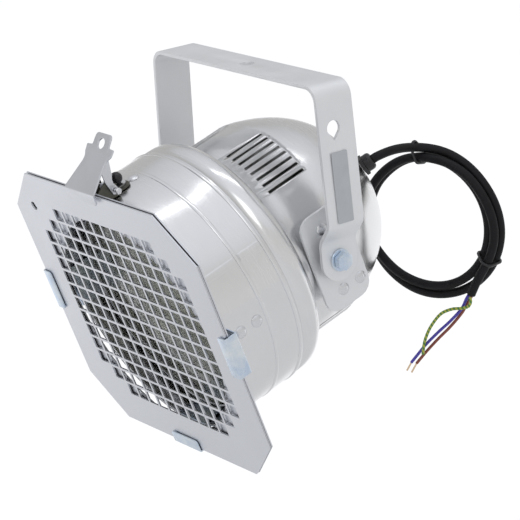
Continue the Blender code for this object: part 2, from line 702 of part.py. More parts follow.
def side_bracket(side):
    """A flat plate riveted across the side of the housing, with the pivot hole in it."""
    name = f"bracket_{side_of(side)}"
    outline = rounded_box(*BRACKET_Y, *BRACKET_Z, BRACKET_CORNER, 4)
    mesh = plate_mesh(name, [outline], BRACKET_T, TO_YZ)
    plate = add(name, mesh, "white_metal", CAN, (side * (BRACKET_X + BRACKET_T / 2), 0, 0))
    turn = (0, side * math.pi / 2, 0)
    index = 0
    for y in BRACKET_RIVETS_Y:
        for z in BRACKET_RIVETS_Z:
            index += 1
            place = (side * (BRACKET_X + BRACKET_T), y, z)
            rivet(f"{name}_rivet_{index}", place, turn, BRACKET_RIVET_GRIP, [plate, HOUSING])
    return plate


def hexagon(flats):
    return circle(flats / 2 / math.cos(math.pi / 6), 6)


def pivot(side, plate):
    """Bolt, washer, spacer and nut on one side; the bolt and washer stay with the yoke."""
    tag = side_of(side)
    turn = (0, side * math.pi / 2, 0)
    here = (0, 0, -PIVOT_DROP)
    head_x = YOKE_END_X + 2 * GAP + WASHER_T

    bolt_mesh = plate_mesh(f"pivot_bolt_{tag}", [hexagon(BOLT_HEAD_FLATS)], BOLT_HEAD_H,
                           Matrix.Translation((0, 0, head_x + BOLT_HEAD_H / 2)))
    bolt = add(f"pivot_bolt_{tag}", bolt_mesh, "zinc", None, here, turn)
    shank = cylinder_mesh(f"bolt_shank_{tag}", BOLT_R, 0.0790, head_x + 0.0010)
    boolean(bolt, cutter(f"bolt_shank_{tag}", shank, None, here, turn), "UNION")

    washer_z = YOKE_END_X + GAP
    washer = [(WASHER_R, washer_z + WASHER_T), (WASHER_R, washer_z), (BOLT_R + GAP, washer_z),
              (BOLT_R + GAP, washer_z + WASHER_T)]
    turned(f"pivot_washer_{tag}", washer, "zinc", None, here, turn, 16)

    inner_x = BRACKET_X + BRACKET_T + GAP
    outer_x = YOKE_END_X - YOKE_T - GAP
    spacer = [(FRICTION_R, outer_x), (FRICTION_R, inner_x), (BOLT_R + GAP, inner_x),
              (BOLT_R + GAP, outer_x)]
    turned(f"friction_washer_{tag}", spacer, "black", TILT_AXIS, rotation=turn, steps=16)

    outlines = [hexagon(NUT_FLATS), circle(BOLT_R + GAP, SMALL_STEPS)]
    nut_mesh = plate_mesh(f"pivot_nut_{tag}", outlines, NUT_X[1] - NUT_X[0],
                          Matrix.Translation((0, 0, sum(NUT_X) / 2)))
    add(f"pivot_nut_{tag}", nut_mesh, "zinc", TILT_AXIS, rotation=turn)

    drill = cylinder_mesh(f"pivot_drill_{tag}", BOLT_R + GAP, 0.0800, 0.1080)
    tool = cutter(f"pivot_drill_{tag}", drill, TILT_AXIS, rotation=turn)
    boolean(plate, tool)
    boolean(HOUSING, tool)


def yoke_path():
    """The outer face of the strip, from the left end over the top to the right end, as (x, z)."""
    shoulder_x = YOKE_TOP_X + YOKE_SPLAY * (PIVOT_DROP - YOKE_STEP_TOP)
    lower = [(YOKE_END_X, -PIVOT_DROP - YOKE_W / 2), (YOKE_END_X, -PIVOT_DROP + YOKE_STEP_END),
             (shoulder_x, -PIVOT_DROP + YOKE_STEP_TOP)]
    lean = math.degrees(math.atan(YOKE_SPLAY))
    corner = arc((YOKE_TOP_X - YOKE_BEND, -YOKE_BEND), YOKE_BEND, lean, 90, 5)
    right = lower + corner
    left = [(-x, z) for x, z in right]
    return left + right[::-1]


def yoke():
    outline = bent_strip(yoke_path(), -YOKE_T)
    mesh = plate_mesh("yoke", [outline], YOKE_W, TO_XZ)
    obj = add("yoke", mesh, "white_metal")

    end = arc((0, -PIVOT_DROP), YOKE_W / 2, 180, 360, 10)
    low = -PIVOT_DROP - YOKE_W
    waste = [(-YOKE_W, -PIVOT_DROP)] + end + [(YOKE_W, -PIVOT_DROP), (YOKE_W, low), (-YOKE_W, low)]
    round_end = plate_mesh("yoke_end_cut", [waste], 0.300, TO_YZ)
    boolean(obj, cutter("yoke_end_cut", round_end))

    pivot_hole = cylinder_mesh("yoke_pivot_hole", BOLT_R + GAP, -0.150, 0.150)
    boolean(obj, cutter("yoke_pivot_hole", pivot_hole, None, (0, 0, -PIVOT_DROP), (0, math.pi / 2, 0)))
    hanging = cylinder_mesh("yoke_hanging_hole", HANGING_HOLE_R, -0.010, 0.010, 16)
    boolean(obj, cutter("yoke_hanging_hole", hanging))

    keyhole = arc((0, 0), KEYHOLE_R, -50, 230, 10) + [(0, -KEYHOLE_POINT)]
    safety = plate_mesh("yoke_safety_hole", [keyhole], 0.030, TO_YZ)
    boolean(obj, cutter("yoke_safety_hole", safety, None, (YOKE_TOP_X, *KEYHOLE_AT)))


def blank_label():
    """A plain sticker on the outside of the right arm."""
    half_w, half_h = LABEL_SIZE[0] / 2, LABEL_SIZE[1] / 2
    sheet = plate_mesh("blank_label", [rounded_box(-half_w, half_w, -half_h, half_h, 0.0010)], LABEL_T,
                       TO_YZ)
    y, z = LABEL_AT
    x = YOKE_TOP_X - YOKE_SPLAY * z + GAP + LABEL_T
    add("blank_label", sheet, "label", None, (x, y, z), (0, -math.atan(YOKE_SPLAY), 0))


# ------------------------------------------------------------------ cable entry
def gland_place():
    """Where the gland stands on the dome, and the dome's outward direction there."""
    r = dome_radius(GLAND_T)
    slope = (dome_radius(GLAND_T + 0.001) - dome_radius(GLAND_T - 0.001)) / (0.002 * DOME_LENGTH)
    radial = Vector((math.cos(GLAND_ANGLE), 0, math.sin(GLAND_ANGLE)))
    normal = (radial - Vector((0, 1, 0)) * slope).normalized()
    return radial * r + Vector((0, DOME_Y + DOME_LENGTH * GLAND_T, 0)), normal


def gland():
    """A plastic gland with a domed cap, and its locknut inside the housing; returns the cable's exit."""
    place, normal = gland_place()
    turn = normal.to_track_quat("Z", "Y").to_euler()
    hole_r = CABLE_R + GAP
    foot = GLAND_FOOT
    body = plate_mesh("gland_body", [hexagon(GLAND_NUT_FLATS), circle(hole_r, SMALL_STEPS)], GLAND_NUT,
                      Matrix.Translation((0, 0, foot + GLAND_NUT / 2)))
    obj = add("gland_body", body, "black", CAN, place, turn)
    stem = [(GLAND_STEM_R, foot + 0.0005), (GLAND_STEM_R, -0.0090), (hole_r, -0.0090),
            (hole_r, foot + 0.0005)]
    stem_tool = cutter("gland_stem", turned_mesh("gland_stem", stem, True), CAN, place, turn)
    screw(stem_tool, 16)
    boolean(obj, stem_tool, "UNION")
    drill = cylinder_mesh("gland_drill", GLAND_STEM_R + 0.0004, -0.0120, 0.0100, 16)
    boolean(HOUSING, cutter("gland_drill", drill, CAN, place, turn))

    low = foot + GLAND_NUT + GAP
    high = low + GLAND_CAP
    cap = [(0.0055, high), (0.0066, high - 0.0022), (GLAND_CAP_R, high - 0.0048), (GLAND_CAP_R, low),
           (hole_r, low), (hole_r, high)]
    turned("gland_cap", cap, "black", CAN, place, turn, 16)

    nut_hole = circle(GLAND_STEM_R + GAP, SMALL_STEPS, start=0.1)
    lock = plate_mesh("gland_locknut", [hexagon(GLAND_NUT_FLATS), nut_hole], GLAND_NUT,
                      Matrix.Translation((0, 0, -0.0060)))
    add("gland_locknut", lock, "black", CAN, place, turn)
    return place + normal * (high + GAP)


# ------------------------------------------------------------------ cable
# The tied coil stands behind the dome. In its own frame X runs to the right, Y up and Z forwards.
COIL_AT = (0.0520, 0.1320, -0.1540)
COIL_TURN = math.radians(21.5)
COIL_IN = 0.0525
COIL_OUT = 0.0680
COIL_HALF = 0.0065
LEAD_ROUTE = [(-0.0136, 0.0698, 0.0475), (-0.0108, 0.0706, 0.0425), (-0.0089, 0.0706, 0.0360),
              (-0.0073, 0.0701, 0.0290), (-0.0060, 0.0689, 0.0215), (-0.0068, 0.0674, 0.0153),
              (-0.0073, 0.0658, 0.0086)]
TAIL_ROUTE = [(0.0535, -0.0315, 0.0108), (0.0503, -0.0380, 0.0110), (0.0475, -0.0440, 0.0110),
              (0.0450, -0.0490, 0.0108), (0.0418, -0.0555, 0.0105)]
WIRE_ROUTES = {
    "earth": [(0.0416, -0.0575, 0.0126), (0.0424, -0.0606, 0.0130), (0.0403, -0.0653, 0.0132),
              (0.0336, -0.0678, 0.0134), (0.0241, -0.0697, 0.0132), (0.0133, -0.0753, 0.0128),
              (0.0040, -0.0862, 0.0126), (-0.0014, -0.0957, 0.0126), (-0.0044, -0.1041, 0.0128),
              (-0.0060, -0.1130, 0.0130)],
    "blue": [(0.0394, -0.0565, 0.0104), (0.0366, -0.0608, 0.0102), (0.0316, -0.0697, 0.0100),
             (0.0204, -0.0816, 0.0100), (0.0083, -0.0928, 0.0100), (-0.0040, -0.1050, 0.0100),
             (-0.0134, -0.1160, 0.0100), (-0.0193, -0.1230, 0.0100)],
    "brown": [(0.0412, -0.0577, 0.0084), (0.0358, -0.0655, 0.0070), (0.0293, -0.0753, 0.0068),
              (0.0181, -0.0881, 0.0068), (0.0059, -0.1002, 0.0068), (-0.0055, -0.1123, 0.0070),
              (-0.0160, -0.1244, 0.0070)],
}
TIES = {"cable_tie_1": math.radians(96), "cable_tie_2": math.radians(-26)}


def smooth(points, step):
    """Points about step apart on a smooth curve through the given ones."""
    knots = [Vector(p) for p in points]
    knots = [2 * knots[0] - knots[1]] + knots + [2 * knots[-1] - knots[-2]]
    result = []
    for before, start, end, after in zip(knots, knots[1:], knots[2:], knots[3:]):
        pieces = max(1, round((end - start).length / step))
        for i in range(pieces):
            t = i / pieces
            bend = 2 * before - 5 * start + 4 * end - after
            twist = 3 * start - before - 3 * end + after
            result.append((2 * start + (end - before) * t + bend * t ** 2 + twist * t ** 3) / 2)
    return result + [knots[-2]]


def coil_frame():
    empty = bpy.data.objects.new("coil_frame", None)
    PARTS.objects.link(empty)
    empty.location = COIL_AT
    empty.rotation_euler = (math.pi / 2, 0, COIL_TURN)
    return empty


def cable(exit_point):
    """The lead from the gland, the coil's outer shape, the free end and its three conductors."""
    frame = coil_frame()
    to_world = (Matrix.Translation((0, 0, -PIVOT_DROP)) @ Matrix.Rotation(TILT, 4, "X")
                @ Matrix.Translation((0, -PIVOT_Y, -PIVOT_Z)))
    to_coil = (Matrix.Translation(COIL_AT) @ Matrix.Rotation(COIL_TURN, 4, "Z")
               @ Matrix.Rotation(math.pi / 2, 4, "X")).inverted()
    start = to_coil @ to_world @ exit_point
    tube("cable_lead", smooth([tuple(start)] + LEAD_ROUTE, 0.007), CABLE_R, "black", frame)

    corner = 0.0030
    section = (arc((COIL_OUT - corner, COIL_HALF - corner), corner, 90, 0, 2)
               + arc((COIL_OUT - corner, corner - COIL_HALF), corner, 0, -90, 2)
               + arc((COIL_IN + corner, corner - COIL_HALF), corner, 270, 180, 2)
               + arc((COIL_IN + corner, COIL_HALF - corner), corner, 180, 90, 2))
    turned("cable_coil", section, "black", frame)
    tube("cable_tail", smooth(TAIL_ROUTE, 0.007), CABLE_R, "black", frame)

    middle = (COIL_IN + COIL_OUT) / 2
    half_r = (COIL_OUT - COIL_IN) / 2 + 0.0004
    half_z = COIL_HALF + 0.0004
    for name, angle in TIES.items():
        outer = rounded_box(-half_r - TIE_T, half_r + TIE_T, -half_z - TIE_T, half_z + TIE_T, 0.0030)
        inner = rounded_box(-half_r, half_r, -half_z, half_z, 0.0020)
        upright = Matrix.Rotation(angle, 4, "Z") @ Matrix.Translation((middle, 0, 0)) @ TO_XZ
        add(name, plate_mesh(name, [outer, inner], TIE_W, upright), "black", frame)
    for colour, route in WIRE_ROUTES.items():
        tube(f"wire_{colour}", smooth(route, 0.006), WIRE_R, colour, frame)


def latch_axis():
    empty = bpy.data.objects.new("latch_axis", None)
    PARTS.objects.link(empty)
    empty.parent = CAN
    empty.location = (0, LATCH_PIN_Y, LATCH_PIN_Z)
    return empty


# ------------------------------------------------------------------ build
filter_frame()
BARREL = front_barrel()
HOUSING = rear_housing()
boolean(HOUSING, slot_cutter())
clip("clip_right", 0, FRAME_W / 2 + FRAME_AT[0])
clip("clip_left", 180, FRAME_W / 2 - FRAME_AT[0])
clip("clip_bottom", 270, FRAME_H / 2 - FRAME_AT[1])
LATCH = latch_axis()
latch_flap()
latch_hardware()
lamp()
yoke()
blank_label()
for bracket_side in (-1, 1):
    pivot(bracket_side, side_bracket(bracket_side))
cable(gland())
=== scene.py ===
"""The looks of a short par can stage light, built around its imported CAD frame.

Every piece is made in place, in metres. The can has a frame of its own: y = 0 is the front of the
guard, y grows towards the dome and z = 0 is the turning axis of the shells. CAN takes it to the row.
"""

import json
import math

import bmesh
import bpy
from mathutils import Matrix, Vector
from mathutils.geometry import convex_hull_2d


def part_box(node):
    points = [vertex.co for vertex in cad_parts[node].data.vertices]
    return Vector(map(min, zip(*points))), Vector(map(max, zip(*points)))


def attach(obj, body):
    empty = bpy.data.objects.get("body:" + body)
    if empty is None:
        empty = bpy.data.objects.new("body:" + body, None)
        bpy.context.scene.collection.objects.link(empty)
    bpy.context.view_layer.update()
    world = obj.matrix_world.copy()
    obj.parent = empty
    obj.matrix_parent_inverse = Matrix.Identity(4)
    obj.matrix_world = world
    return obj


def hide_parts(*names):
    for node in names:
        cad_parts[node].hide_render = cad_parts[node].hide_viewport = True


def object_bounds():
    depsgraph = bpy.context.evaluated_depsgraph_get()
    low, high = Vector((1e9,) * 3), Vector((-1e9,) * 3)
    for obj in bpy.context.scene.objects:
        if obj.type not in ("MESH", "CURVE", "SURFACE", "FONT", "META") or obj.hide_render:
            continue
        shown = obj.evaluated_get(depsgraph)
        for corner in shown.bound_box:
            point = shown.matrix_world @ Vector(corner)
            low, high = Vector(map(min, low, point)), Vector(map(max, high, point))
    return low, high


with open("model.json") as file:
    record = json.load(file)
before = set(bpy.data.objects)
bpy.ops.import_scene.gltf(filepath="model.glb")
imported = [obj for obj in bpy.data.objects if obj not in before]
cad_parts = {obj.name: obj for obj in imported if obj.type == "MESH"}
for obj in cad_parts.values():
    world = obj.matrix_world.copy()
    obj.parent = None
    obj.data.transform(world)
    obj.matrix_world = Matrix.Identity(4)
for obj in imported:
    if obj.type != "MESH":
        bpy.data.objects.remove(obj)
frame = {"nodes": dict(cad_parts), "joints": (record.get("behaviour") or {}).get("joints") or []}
CAD_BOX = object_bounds()
JOINTS = {joint["name"]: joint for joint in frame["joints"]}

# ------------------------------------------------------------------ places, from the frame
TILT = math.radians(17.7)
PIVOT_Y = 0.1328
PIVOT_Z = -0.0004
PIVOT = Vector(JOINTS["can_tilt"]["pos_m"])
TO_CAN = (Matrix.Translation((0, PIVOT_Y, PIVOT_Z)) @ Matrix.Rotation(-TILT, 4, "X")
          @ Matrix.Translation(-PIVOT))
CAN = TO_CAN.inverted()
LATCH_PIN = TO_CAN @ Vector(JOINTS["latch_open"]["pos_m"])

GAP = 0.0003
SHEET = 0.0012
WALL = 0.0010
SEGMENTS = 160

RIM_Y = 0.0105
BARREL_R = 0.1068
FRONT_BEAD = (0.0526, 0.0006)
REAR_BEAD = (0.0774, 0.0008)
JOINT_Y = 0.0800
RING_R = 0.1063
SHOULDER_R = 0.0120
SHOULDER_END_Y = 0.1040
HOUSING_R = 0.0905
DOME_Y = 0.1540
DOME_LENGTH = 0.0707
DOME_FULLNESS = 1.2
DOME_POWER = 0.29

SLOT_FRONT = 0.1163
SLOT_REAR = 0.1530
SLOT_W = 0.0027
SLOT_PITCH = 4.47
SLOTS_PER_GROUP = 8
SLOT_GROUPS = (60, 120, 240, 300)

SEAM_ANGLES = (25.3, 28.6)
SEAM_SPANS_Y = ((0.0130, 0.0500), (0.0550, 0.0750))

LATCH_BASE = Vector((-0.0022, 0.1222))
LATCH_LIP_Z = 0.1140
LATCH_LEAN = math.radians(33)
LATCH_SLOPE = 0.0330
LATCH_TAB_LEAN = math.radians(43.5)
LATCH_TAB = 0.0160
LATCH_TAB_HOLE_AT = 0.0078
LATCH_TAB_HOLE_R = 0.0043
LATCH_HALF_W = 0.0207
LATCH_EAR_X = 0.0140
LATCH_EAR_TOP = (0.0193, 0.0315)
LATCH_CHEEK_X = 0.0125
LATCH_RIVET_Y = 0.0440
KNOB_Y = 0.0307
KNOB_R = 0.0050
LATCH_EAR = [(0.0215, 0.1265), (0.0200, 0.1225), (0.0200, 0.1195), (0.0212, 0.1170), (0.0222, 0.1140),
             (0.0210, 0.1110), (0.0188, 0.1102), (0.0166, 0.1112), (0.0152, 0.1165), (0.0136, 0.1235)]
LATCH_CHEEK = [(0.0052, 0.1092), (0.0050, 0.1180), (0.0157, 0.1245), (0.0188, 0.1205), (0.0190, 0.1092)]

CLIP_W = 0.0365
CLIP_LIP = 0.0110
CLIP_FRONT = -0.0018
CLIP_LEG_END = 0.0500
CLIP_SETBACK = 0.0022
CLIP_BEND = 0.0014
CLIP_CHAMFER = 0.0020
CLIP_RIVETS_Y = (0.0268, 0.0430)
GUARD_LOW, GUARD_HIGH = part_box("guard_sheet")
FRAME_RIGHT = GUARD_HIGH.x
FRAME_LEFT = -GUARD_LOW.x
FRAME_LOW = 0.1218

YOKE_TOP_X = 0.1108
YOKE_SPLAY = 0.048
YOKE_W = 0.0340
YOKE_T = 0.0030
YOKE_BEND = 0.0130
YOKE_END_X = 0.1035
YOKE_STEP_TOP = 0.0312
YOKE_STEP_END = 0.0160
YOKE_HOLE_R = 0.0060
YOKE_PIVOT_HOLE_R = 0.0043
YOKE_STEP_BEND = 0.0120
KEYHOLE_R = 0.0062
KEYHOLE_AT = (-0.0030, -0.0305)
LABEL_HALF = (0.0076, 0.0282)
LABEL_AT = (-0.0008, -0.0812)
LABEL_T = 0.0002

BOLT_R = 0.0080
BOLT_FLAT = 0.0066
BOLT_HEAD = 0.0056
WASHER_R = 0.0090
WASHER_HOLE_R = 0.0043
WASHER_T = 0.0016

BRACKET_X = 0.0915
BRACKET_T = 0.0025
BRACKET_RIVETS_Y = (0.1325, 0.1505)
BRACKET_RIVETS_Z = (-0.0300, 0.0260)

CABLE_D = 0.0075
WIRE_D = 0.0026
COIL_AT = (0.0520, 0.1320, -0.1540)
COIL_TURN = math.radians(21.5)
COIL = (Matrix.Translation(COIL_AT) @ Matrix.Rotation(COIL_TURN, 4, "Z")
        @ Matrix.Rotation(math.pi / 2, 4, "X"))
TIE_ANGLES = {"tie_1": math.radians(92), "tie_2": math.radians(-26)}
TIE_R = 0.0012
GLAND_ANGLE = math.radians(28)
GLAND_T = 0.84
GLAND_FOOT = 0.0010
GLAND_NUT = 0.0030
GLAND_NUT_FLAT = 0.0076
GLAND_CAP = 0.0068
GLAND_CAP_R = 0.0072
GLAND_TOP = 0.0111

LENS_RIM_Y = 0.0350
LENS_R = 0.1010
LENS_CROWN = 0.0150
LENS_RISE = 0.0120
LENS_T = 0.0030
BOWL_R = 0.0970
BOWL_NECK_R = 0.0189
BOWL_END_Y = 0.1270

CAMERA_AT = (1.5802, -1.0992, 0.4483)
CAMERA_RIGHT = Vector((0.5891, 0.8039, -0.0824))
CAMERA_UP = Vector((-0.1990, 0.2432, 0.9493))
CAMERA_LENS = 171.6
FLOOR_DROP = 0.35


# ------------------------------------------------------------------ camera
def camera():
    """A long lens, a little above the light, on its front right."""
    data = bpy.data.cameras.new("camera")
    data.lens = CAMERA_LENS
    data.sensor_width = 36
    data.clip_end = 50
    obj = bpy.data.objects.new("camera", data)
    bpy.context.scene.collection.objects.link(obj)
    turn = Matrix((CAMERA_RIGHT, CAMERA_UP, CAMERA_RIGHT.cross(CAMERA_UP))).transposed().to_4x4()
    obj.matrix_world = Matrix.Translation(CAMERA_AT) @ turn
    bpy.context.scene.camera = obj


# ------------------------------------------------------------------ node graphs
class Graph:
    """Short ways to build a material's nodes."""

    def __init__(self, name, colour, roughness, metallic=0.0, **sockets):
        self.material = bpy.data.materials.new(name)
        self.material.use_nodes = True
        self.tree = self.material.node_tree
        self.shader = self.tree.nodes["Principled BSDF"]
        self.shader.inputs["Base Color"].default_value = (*colour, 1)
        self.shader.inputs["Roughness"].default_value = roughness
        self.shader.inputs["Metallic"].default_value = metallic
        for socket, value in sockets.items():
            self.shader.inputs[socket.replace("_", " ")].default_value = value

    def add(self, kind, links=None, **settings):
        """A node with its settings, and inputs by index or name given as links or values."""
        node = self.tree.nodes.new("ShaderNode" + kind)
        for key, value in settings.items():
            setattr(node, key, value)
        for key, value in (links or {}).items():
            if isinstance(value, bpy.types.NodeSocket):
                self.tree.links.new(value, node.inputs[key])
            else:
                node.inputs[key].default_value = value
        return node

    def math(self, operation, a, b=0.0):
        return self.add("Math", {0: a, 1: b}, operation=operation).outputs[0]

    def place(self):
        return self.add("TexCoord").outputs["Object"]

    def can_place(self):
        """The point in the can's own frame."""
        location = TO_CAN.to_translation()
        return self.add("Mapping", {"Vector": self.place(), "Location": location,
                                    "Rotation": (-TILT, 0, 0)}).outputs[0]

    def polar(self):
        """Angle round the can's axis, distance along it and distance from it."""
        x, y, z = self.add("SeparateXYZ", {0: self.can_place()}).outputs
        angle = self.math("ARCTAN2", z, x)
        square = self.math("ADD", self.math("MULTIPLY", x, x), self.math("MULTIPLY", z, z))
        radius = self.math("SQRT", square)
        return angle, y, radius

    def weighed(self, a, share_a, b, share_b):
        return self.math("ADD", self.math("MULTIPLY", a, share_a), self.math("MULTIPLY", b, share_b))

    def stretched(self, parts, scales):
        """A vector of three values, each times its scale."""
        scaled = [self.math("MULTIPLY", part, scale) for part, scale in zip(parts, scales)]
        return self.add("CombineXYZ", dict(enumerate(scaled))).outputs[0]

    def noise(self, vector, scale, detail=3.0, rough=0.5):
        return self.add("TexNoise", {"Vector": vector, "Scale": scale, "Detail": detail,
                                     "Roughness": rough}).outputs["Fac"]

    def span(self, value, low, high, start=0.35, end=0.65):
        """value taken from start..end to low..high."""
        return self.add("MapRange", {0: value, 1: start, 2: end, 3: low, 4: high}).outputs[0]

    def blend(self, value, colour_a, colour_b):
        node = self.add("Mix", {0: value, 6: (*colour_a, 1), 7: (*colour_b, 1)}, data_type="RGBA")
        return node.outputs[2]

    def bump(self, height, strength, distance):
        node = self.add("Bump", {"Height": height, "Strength": strength, "Distance": distance})
        self.tree.links.new(node.outputs[0], self.shader.inputs["Normal"])

    def feed(self, socket, value):
        self.tree.links.new(value, self.shader.inputs[socket])


def spun_aluminium():
    """Polished shells: fine rings from the spinning lathe, soft waves and cloudy handling marks."""
    g = Graph("spun_aluminium", (0.84, 0.845, 0.86), 0.2, 1.0)
    place = g.polar()
    rings = g.noise(g.stretched(place, (0.35, 60.0, 60.0)), 22.0, 4.0, 0.7)
    waves = g.noise(g.stretched(place, (0.5, 16.0, 16.0)), 1.6, 1.0, 0.4)
    clouds = g.noise(g.place(), 14.0, 4.0)
    g.feed("Roughness", g.span(g.weighed(clouds, 0.6, rings, 0.4), 0.14, 0.30))
    tone = g.weighed(clouds, 0.5, rings, 0.5)
    g.feed("Base Color", g.blend(tone, (0.66, 0.665, 0.675), (0.90, 0.90, 0.905)))
    fine = g.add("Bump", {"Height": rings, "Strength": 0.05, "Distance": 0.0002}).outputs[0]
    soft = g.add("Bump", {"Height": waves, "Strength": 0.5, "Distance": 0.0040, "Normal": fine})
    g.feed("Normal", soft.outputs[0])
    return g.material


def satin_sheet():
    """Bright cold-rolled sheet: a faint grain along Z and soft marks."""
    g = Graph("satin_sheet", (0.76, 0.78, 0.83), 0.40, 1.0)
    place = g.add("SeparateXYZ", {0: g.can_place()}).outputs
    grain = g.noise(g.stretched(place, (14.0, 1.0, 1.0)), 60.0, 5.0, 0.6)
    marks = g.noise(g.place(), 18.0, 3.0)
    g.feed("Roughness", g.span(g.weighed(grain, 0.4, marks, 0.6), 0.34, 0.48))
    g.feed("Base Color", g.blend(marks, (0.68, 0.695, 0.735), (0.76, 0.775, 0.81)))
    g.bump(grain, 0.06, 0.0002)
    return g.material


def yoke_metal():
    """Pale strip with a tumbled, almost matt surface."""
    g = Graph("yoke_metal", (0.74, 0.75, 0.76), 0.45, 0.55)
    marks = g.noise(g.place(), 30.0, 5.0, 0.6)
    fine = g.noise(g.place(), 900.0, 2.0)
    g.feed("Roughness", g.span(marks, 0.38, 0.52))
    g.feed("Base Color", g.blend(marks, (0.76, 0.77, 0.79), (0.84, 0.85, 0.86)))
    g.bump(fine, 0.08, 0.0001)
    return g.material


def zinc_plate():
    """Bluish zinc plating with a mottled, slightly iridescent tone."""
    g = Graph("zinc_plate", (0.66, 0.74, 0.84), 0.3, 1.0)
    mottle = g.noise(g.place(), 70.0, 4.0, 0.6)
    fine = g.noise(g.place(), 1200.0, 2.0)
    g.feed("Base Color", g.blend(g.span(mottle, 0.0, 1.0), (0.58, 0.68, 0.82), (0.78, 0.83, 0.86)))
    g.feed("Roughness", g.span(mottle, 0.24, 0.38))
    g.bump(fine, 0.05, 0.0001)
    return g.material


def bright_steel():
    """Plated steel of the rivets and pins."""
    g = Graph("bright_steel", (0.72, 0.73, 0.75), 0.25, 1.0)
    marks = g.noise(g.place(), 160.0, 4.0)
    g.feed("Roughness", g.span(marks, 0.18, 0.34))
    g.bump(marks, 0.05, 0.0002)
    return g.material


def painted_shade_steel():
    """Steel in a flat dark olive with uneven patches: painted shade, the tone of the shadowed hollow under
    the latch.
    """
    g = Graph("painted_shade_steel", (0.10, 0.10, 0.085), 0.42, 0.9)
    marks = g.noise(g.place(), 120.0, 3.0)
    g.feed("Base Color", g.blend(marks, (0.07, 0.07, 0.06), (0.16, 0.155, 0.13)))
    g.feed("Roughness", g.span(marks, 0.34, 0.52))
    return g.material


def black_plastic():
    """Moulded black nylon."""
    g = Graph("black_plastic", (0.012, 0.012, 0.014), 0.3, 0.0, Specular_IOR_Level=0.5)
    grain = g.noise(g.place(), 1400.0, 2.0)
    g.feed("Roughness", g.span(grain, 0.24, 0.38))
    g.bump(grain, 0.06, 0.0001)
    return g.material


def cable_rubber():
    """Black sheath: a matt skin with faint dust and fine ripples."""
    g = Graph("cable_rubber", (0.008, 0.008, 0.009), 0.55, 0.0, Specular_IOR_Level=0.22)
    dust = g.noise(g.place(), 90.0, 5.0, 0.65)
    fine = g.noise(g.place(), 1100.0, 2.0)
    g.feed("Base Color", g.blend(g.span(dust, 0.0, 1.0), (0.004, 0.004, 0.005), (0.010, 0.010, 0.012)))
    g.feed("Roughness", g.span(dust, 0.48, 0.62))
    g.bump(fine, 0.10, 0.0002)
    return g.material


def lens_glass():
    """Pressed glass with a pebbled inner face."""
    g = Graph("lens_glass", (0.80, 0.82, 0.76), 0.06, 0.0, Transmission_Weight=1.0, IOR=1.47)
    pebbles = g.add("TexVoronoi", {"Vector": g.place(), "Scale": 150.0}, feature="SMOOTH_F1")
    dust = g.noise(g.place(), 25.0, 4.0)
    g.feed("Roughness", g.span(dust, 0.05, 0.16))
    g.bump(pebbles.outputs["Distance"], 0.22, 0.0012)
    return g.material


def silvering():
    """The lamp's reflector: bright metal film on faceted glass, its colour darkened to a dull olive as
    painted shade of the can's inside.
    """
    g = Graph("silvering", (0.32, 0.32, 0.29), 0.24, 1.0)
    facets = g.add("TexVoronoi", {"Vector": g.place(), "Scale": 60.0}, feature="F1")
    marks = g.noise(g.place(), 30.0, 3.0)
    g.feed("Roughness", g.span(marks, 0.20, 0.36))
    g.bump(facets.outputs["Distance"], 0.12, 0.002)
    return g.material


def ceramic():
    """The unglazed body of the lamp's cap and socket."""
    g = Graph("ceramic", (0.82, 0.80, 0.74), 0.55, 0.0)
    specks = g.noise(g.place(), 500.0, 3.0)
    g.feed("Base Color", g.blend(specks, (0.76, 0.74, 0.68), (0.86, 0.84, 0.79)))
    g.bump(specks, 0.15, 0.0002)
    return g.material


def brass():
    """The lamp's prongs."""
    g = Graph("brass", (0.78, 0.60, 0.30), 0.28, 1.0)
    marks = g.noise(g.place(), 200.0, 3.0)
    g.feed("Roughness", g.span(marks, 0.2, 0.4))
    return g.material


def sticker():
    """A blank grey sticker with a soft paper mottle."""
    g = Graph("sticker", (0.52, 0.54, 0.56), 0.5, 0.0)
    mottle = g.noise(g.place(), 120.0, 3.0)
    g.feed("Base Color", g.blend(mottle, (0.42, 0.44, 0.47), (0.50, 0.52, 0.54)))
    g.bump(mottle, 0.05, 0.0001)
    return g.material


def insulation(name, colour, stripe=None):
    """Soft PVC on a conductor, with a second colour in a long spiral on the earth one."""
    g = Graph(name, colour, 0.38, 0.0)
    shade = g.noise(g.place(), 60.0, 2.0)
    darker = tuple(0.8 * c for c in colour)
    if stripe is None:
        g.feed("Base Color", g.blend(shade, darker, colour))
    else:
        wave = g.add("TexWave", {"Vector": g.place(), "Scale": 110.0, "Distortion": 1.0, "Detail": 0.0},
                     bands_direction="DIAGONAL").outputs["Fac"]
        g.feed("Base Color", g.blend(g.math("GREATER_THAN", wave, 0.5), colour, stripe))
    g.feed("Roughness", g.span(shade, 0.32, 0.46))
    return g.material


def bare_copper():
    """Twisted strands at the conductors' ends."""
    g = Graph("bare_copper", (0.80, 0.62, 0.42), 0.32, 1.0)
    strands = g.noise(g.place(), 900.0, 2.0)
    g.feed("Roughness", g.span(strands, 0.25, 0.45))
    g.bump(strands, 0.3, 0.0003)
    return g.material


# ------------------------------------------------------------------ mesh helpers
def finish_mesh(bm, name, matrix=None, smooth=35):
    """A mesh from a bmesh, moved by the matrix, with edges sharper than smooth degrees kept sharp."""
    mesh = bpy.data.meshes.new(name)
    bmesh.ops.recalc_face_normals(bm, faces=bm.faces)
    bm.to_mesh(mesh)
    bm.free()
    if matrix is not None:
        mesh.transform(matrix)
    mesh.shade_smooth()
    mesh.set_sharp_from_angle(angle=math.radians(smooth))
    return mesh


def piece(name, mesh, material, body, slot, *nodes):
    """Show a mesh as a piece that rides on a body and stands for CAD nodes."""
    obj = bpy.data.objects.new(name, mesh)
    bpy.context.scene.collection.objects.link(obj)
    mesh.materials.append(material)
    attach(obj, body)
    if nodes:
        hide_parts(*nodes)
    return obj


